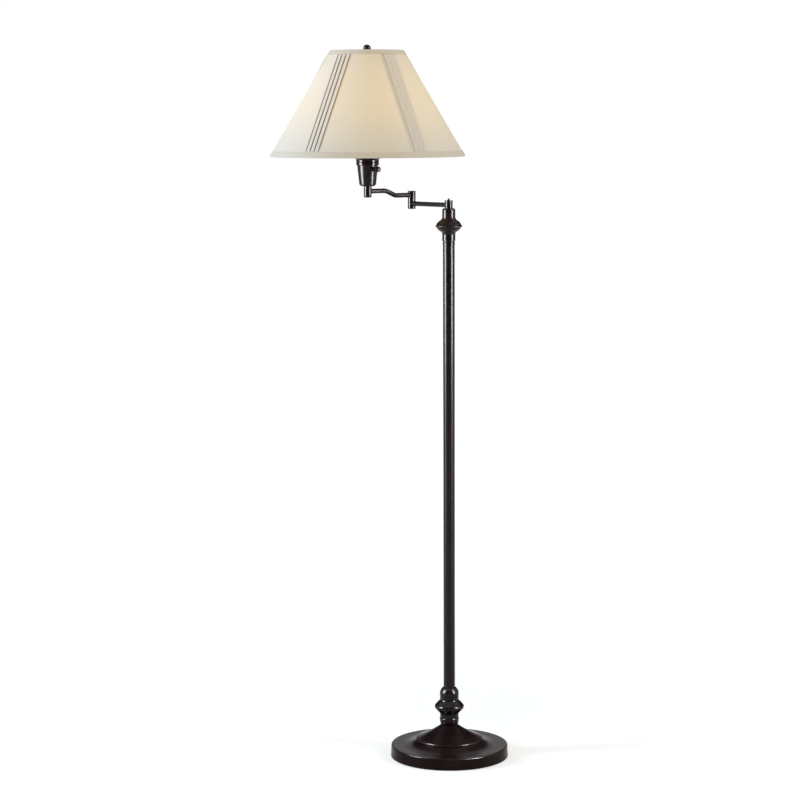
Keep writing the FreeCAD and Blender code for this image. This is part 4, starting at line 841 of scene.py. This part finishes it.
def eased(value):
    """A smooth step from 0 to 1."""
    value = max(0.0, min(1.0, value))
    return value * value * (3 - 2 * value)


points = [len(line) for line in (EDGE_LINE, PLEAT_LINE, TAIL_LINE)]
print("points in an edge, a pleat and a tail:", points)

# %% [markdown]
# ## Strips and bands
#
# A strip is one folded line drawn up the slope. Towards both trims it is pressed flat, so that it fits
# under them, and the shade painted in its grooves grows fainter. A band is an edge, three pleats and a
# tail, joined as one piece and thickened.

# %% Pleat bands
def grown(least, share):
    """A factor that grows smoothly from its least value to 1."""
    return least + (1 - least) * eased(share)


def folded_strip(name, line, shift, middle):
    """A strip of cloth up the slope whose cross-section is a folded line of (across, out, painted
    groove shade).
    """
    piece = grid(name, len(line) - 1, STRIP_ROWS)
    mesh = piece.data
    width = len(line)
    low = BOTTOM_LEG - UNDER_TRIM
    high = SLOPE - TOP_LEG + UNDER_TRIM
    painted_groove_shade = mesh.attributes.new("painted_groove_shade", "FLOAT", "POINT")
    reach = [0.0]
    for first, second in zip(line, line[1:]):
        reach.append(reach[-1] + math.dist(first[:2], second[:2]))
    spots = []
    for i, vertex in enumerate(mesh.vertices):
        across, out, deep = line[i % width]
        along = low + (high - low) * (i // width) / STRIP_ROWS
        radius = RADIUS_BELOW - along * INWARD
        inside = min(along - BOTTOM_LEG, SLOPE - TOP_LEG - along)
        spots.append((reach[i % width], along))
        lift = BAND_OUT + out * grown(PRESSED_TO, inside / PRESSED)
        vertex.co = on_cone(middle + (across + shift) / radius, along, lift)
        # Painted shade in the grooves, fainter towards the trims.
        painted_groove_shade.data[i].value = deep * grown(FADED_TO, inside / FADED)
    flat = mesh.uv_layers.new(name="flat")
    for loop in mesh.loops:
        flat.data[loop.index].uv = spots[loop.vertex_index]
    return piece


def pleat_band(name, middle):
    """The pleats, the panel edge over the first and the tail after the last, joined as one piece."""
    half = PLEATS / 2 * PLEAT
    parts = [folded_strip("part", EDGE_LINE, -half - PLEAT, middle)]
    for i in range(PLEATS):
        parts.append(folded_strip("part", PLEAT_LINE, -half + i * PLEAT, middle))
    parts.append(folded_strip("part", TAIL_LINE, half, middle))
    bpy.ops.object.select_all(action="DESELECT")
    for part in parts:
        part.select_set(True)
    bpy.context.view_layer.objects.active = parts[0]
    bpy.ops.object.join()
    band = bpy.context.active_object
    band.name = name
    thicken(band, PLEAT_THICK)
    smooth(band, 60)
    return band


bands = [pleat_band("pleat_band_%d" % (i + 1), turn) for i, turn in enumerate(BAND_TURNS)]
for band in bands:
    band.data.materials.append(pleat_cloth.material)
    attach(band, "shade")
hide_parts("pleat_bands")
print("bands:", [band.name for band in bands], "faces each", len(bands[0].data.polygons))

# %% [markdown]
# ## The folded trims
#
# A strip of the same cloth is folded over each wire, which hides the cut edges of cover and lining.
# Its section is a long U: a leg outside, a soft round fold past the rim and a shorter leg inside. A
# ring like this is drawn from a circle of points that is extruded and scaled again and again, once
# for each point of the section. The extrude moves it up or down and the scale sets its radius.

# %% Rings of cloth
RING_POINTS = 160


def ring_cloth(name, section):
    """A ring pulled from a circle, with one extrude and one scale for each (radius, height)."""
    bpy.ops.object.select_all(action="DESELECT")
    radius, height = section[0]
    place = (HEAD[0], HEAD[1], height)
    bpy.ops.mesh.primitive_circle_add(vertices=RING_POINTS, radius=radius, location=place)
    piece = bpy.context.active_object
    piece.name = name
    bpy.ops.object.transform_apply(location=True, rotation=True, scale=True)
    bpy.ops.object.mode_set(mode="EDIT")
    bpy.ops.mesh.select_all(action="SELECT")
    for (radius, height), (wider, higher) in zip(section, section[1:]):
        lift = {"value": (0, 0, higher - height)}
        bpy.ops.mesh.extrude_region_move(TRANSFORM_OT_translate=lift)
        grow = wider / radius
        bpy.ops.transform.resize(value=(grow, grow, 1), center_override=(HEAD[0], HEAD[1], higher))
    bpy.ops.mesh.select_all(action="SELECT")
    bpy.ops.mesh.normals_make_consistent(inside=False)
    bpy.ops.object.mode_set(mode="OBJECT")
    return piece


def lay_flat(piece):
    """Flat coordinates for a ring: metres round it, and its height and radius added up across it."""
    mesh = piece.data
    flat = mesh.uv_layers.new(name="flat")
    for face in mesh.polygons:
        middle = math.atan2(face.center.y - HEAD[1], face.center.x - HEAD[0])
        for loop in face.loop_indices:
            point = mesh.vertices[mesh.loops[loop].vertex_index].co
            turn = math.atan2(point.y - HEAD[1], point.x - HEAD[0])
            if turn - middle > math.pi:
                turn -= 2 * math.pi
            if middle - turn > math.pi:
                turn += 2 * math.pi
            radius = math.hypot(point.x - HEAD[0], point.y - HEAD[1])
            flat.data[loop].uv = (turn * radius, point.z + radius)


print("a ring has", RING_POINTS, "points round it")

# %% [markdown]
# ## The trim's fold
#
# The section starts inside the shade, goes round the rim and ends outside, where the strip's edge is
# turned under. It is drawn once, as distances from the rim, and serves both trims.

# %% Trims
INNER_LEG = 0.0075


def section_of(line, from_top):
    """A section given as (out, distance from the rim), as radii and heights on the cone."""
    section = []
    for out, distance in line:
        along = SLOPE - distance if from_top else distance
        point = on_cone(0.0, along, out)
        section.append((point.x - HEAD[0], point.z))
    return section


def folded_trim(name, outer_leg, from_top):
    """A strip folded over a rim, with one leg outside and one inside."""
    line = [
        (-0.00240, INNER_LEG),
        (-0.00246, INNER_LEG * 0.6),
        (-0.00238, 0.0016),
        (-0.00215, 0.0008),
        (-0.00165, 0.00038),
        (-0.00100, 0.00036),
        (-0.00050, 0.00075),
        (-0.00026, 0.0016),
        (-0.00010, outer_leg * 0.35),
        (-0.00008, outer_leg * 0.65),
        (-0.00012, outer_leg - 0.0014),
        (-0.00016, outer_leg - 0.0005),
        (-0.00030, outer_leg),
        (-0.00052, outer_leg - 0.0001),
    ]
    piece = ring_cloth(name, section_of(line, from_top))
    lay_flat(piece)
    thicken(piece, CLOTH_THICK, 0.0)
    smooth(piece, 60)
    piece.data.materials.append(trim_cloth.material)
    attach(piece, "shade")
    return piece


bottom = folded_trim("bottom_trim_cloth", BOTTOM_LEG, False)
top = folded_trim("top_trim_cloth", TOP_LEG, True)
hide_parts("bottom_trim")
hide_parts("top_trim")
print("trims:", len(bottom.data.polygons), "and", len(top.data.polygons), "faces")

# %% [markdown]
# ## The wire in the lower rim
#
# The wire that holds the shade open is a ring of round wire against the inside of the trim. It is
# seen only from below. Its round section is pulled about the head like the trims were, until it meets
# itself, and the two ends are merged.

# %% Lower frame wire
WIRE_RADIUS = 0.0016
WIRE_POINTS = 12


def frame_wire(name, radius, height):
    """A ring of round wire, by the middle of the wire."""
    section = []
    for i in range(WIRE_POINTS + 1):
        turn = 2 * math.pi * i / WIRE_POINTS
        out, up = WIRE_RADIUS * math.cos(turn), WIRE_RADIUS * math.sin(turn)
        section.append((radius + out, height + up))
    piece = ring_cloth(name, section)
    bpy.ops.object.mode_set(mode="EDIT")
    bpy.ops.mesh.select_all(action="SELECT")
    bpy.ops.mesh.remove_doubles(threshold=0.00002)
    bpy.ops.mesh.normals_make_consistent(inside=False)
    bpy.ops.object.mode_set(mode="OBJECT")
    smooth(piece, 60)
    return piece


low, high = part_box("bottom_ring")
RING_RADIUS = (high.x - low.x) / 2 - WIRE_RADIUS - RIM_LIFT * INWARD / UPWARD
lower_wire = frame_wire("lower_frame_wire", RING_RADIUS, (low.z + high.z) / 2 + RIM_LIFT)
lower_wire.data.materials.append(wire.material)
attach(lower_wire, "shade")
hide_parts("bottom_ring")
print("lower wire radius", round(RING_RADIUS, 4), "faces", len(lower_wire.data.polygons))
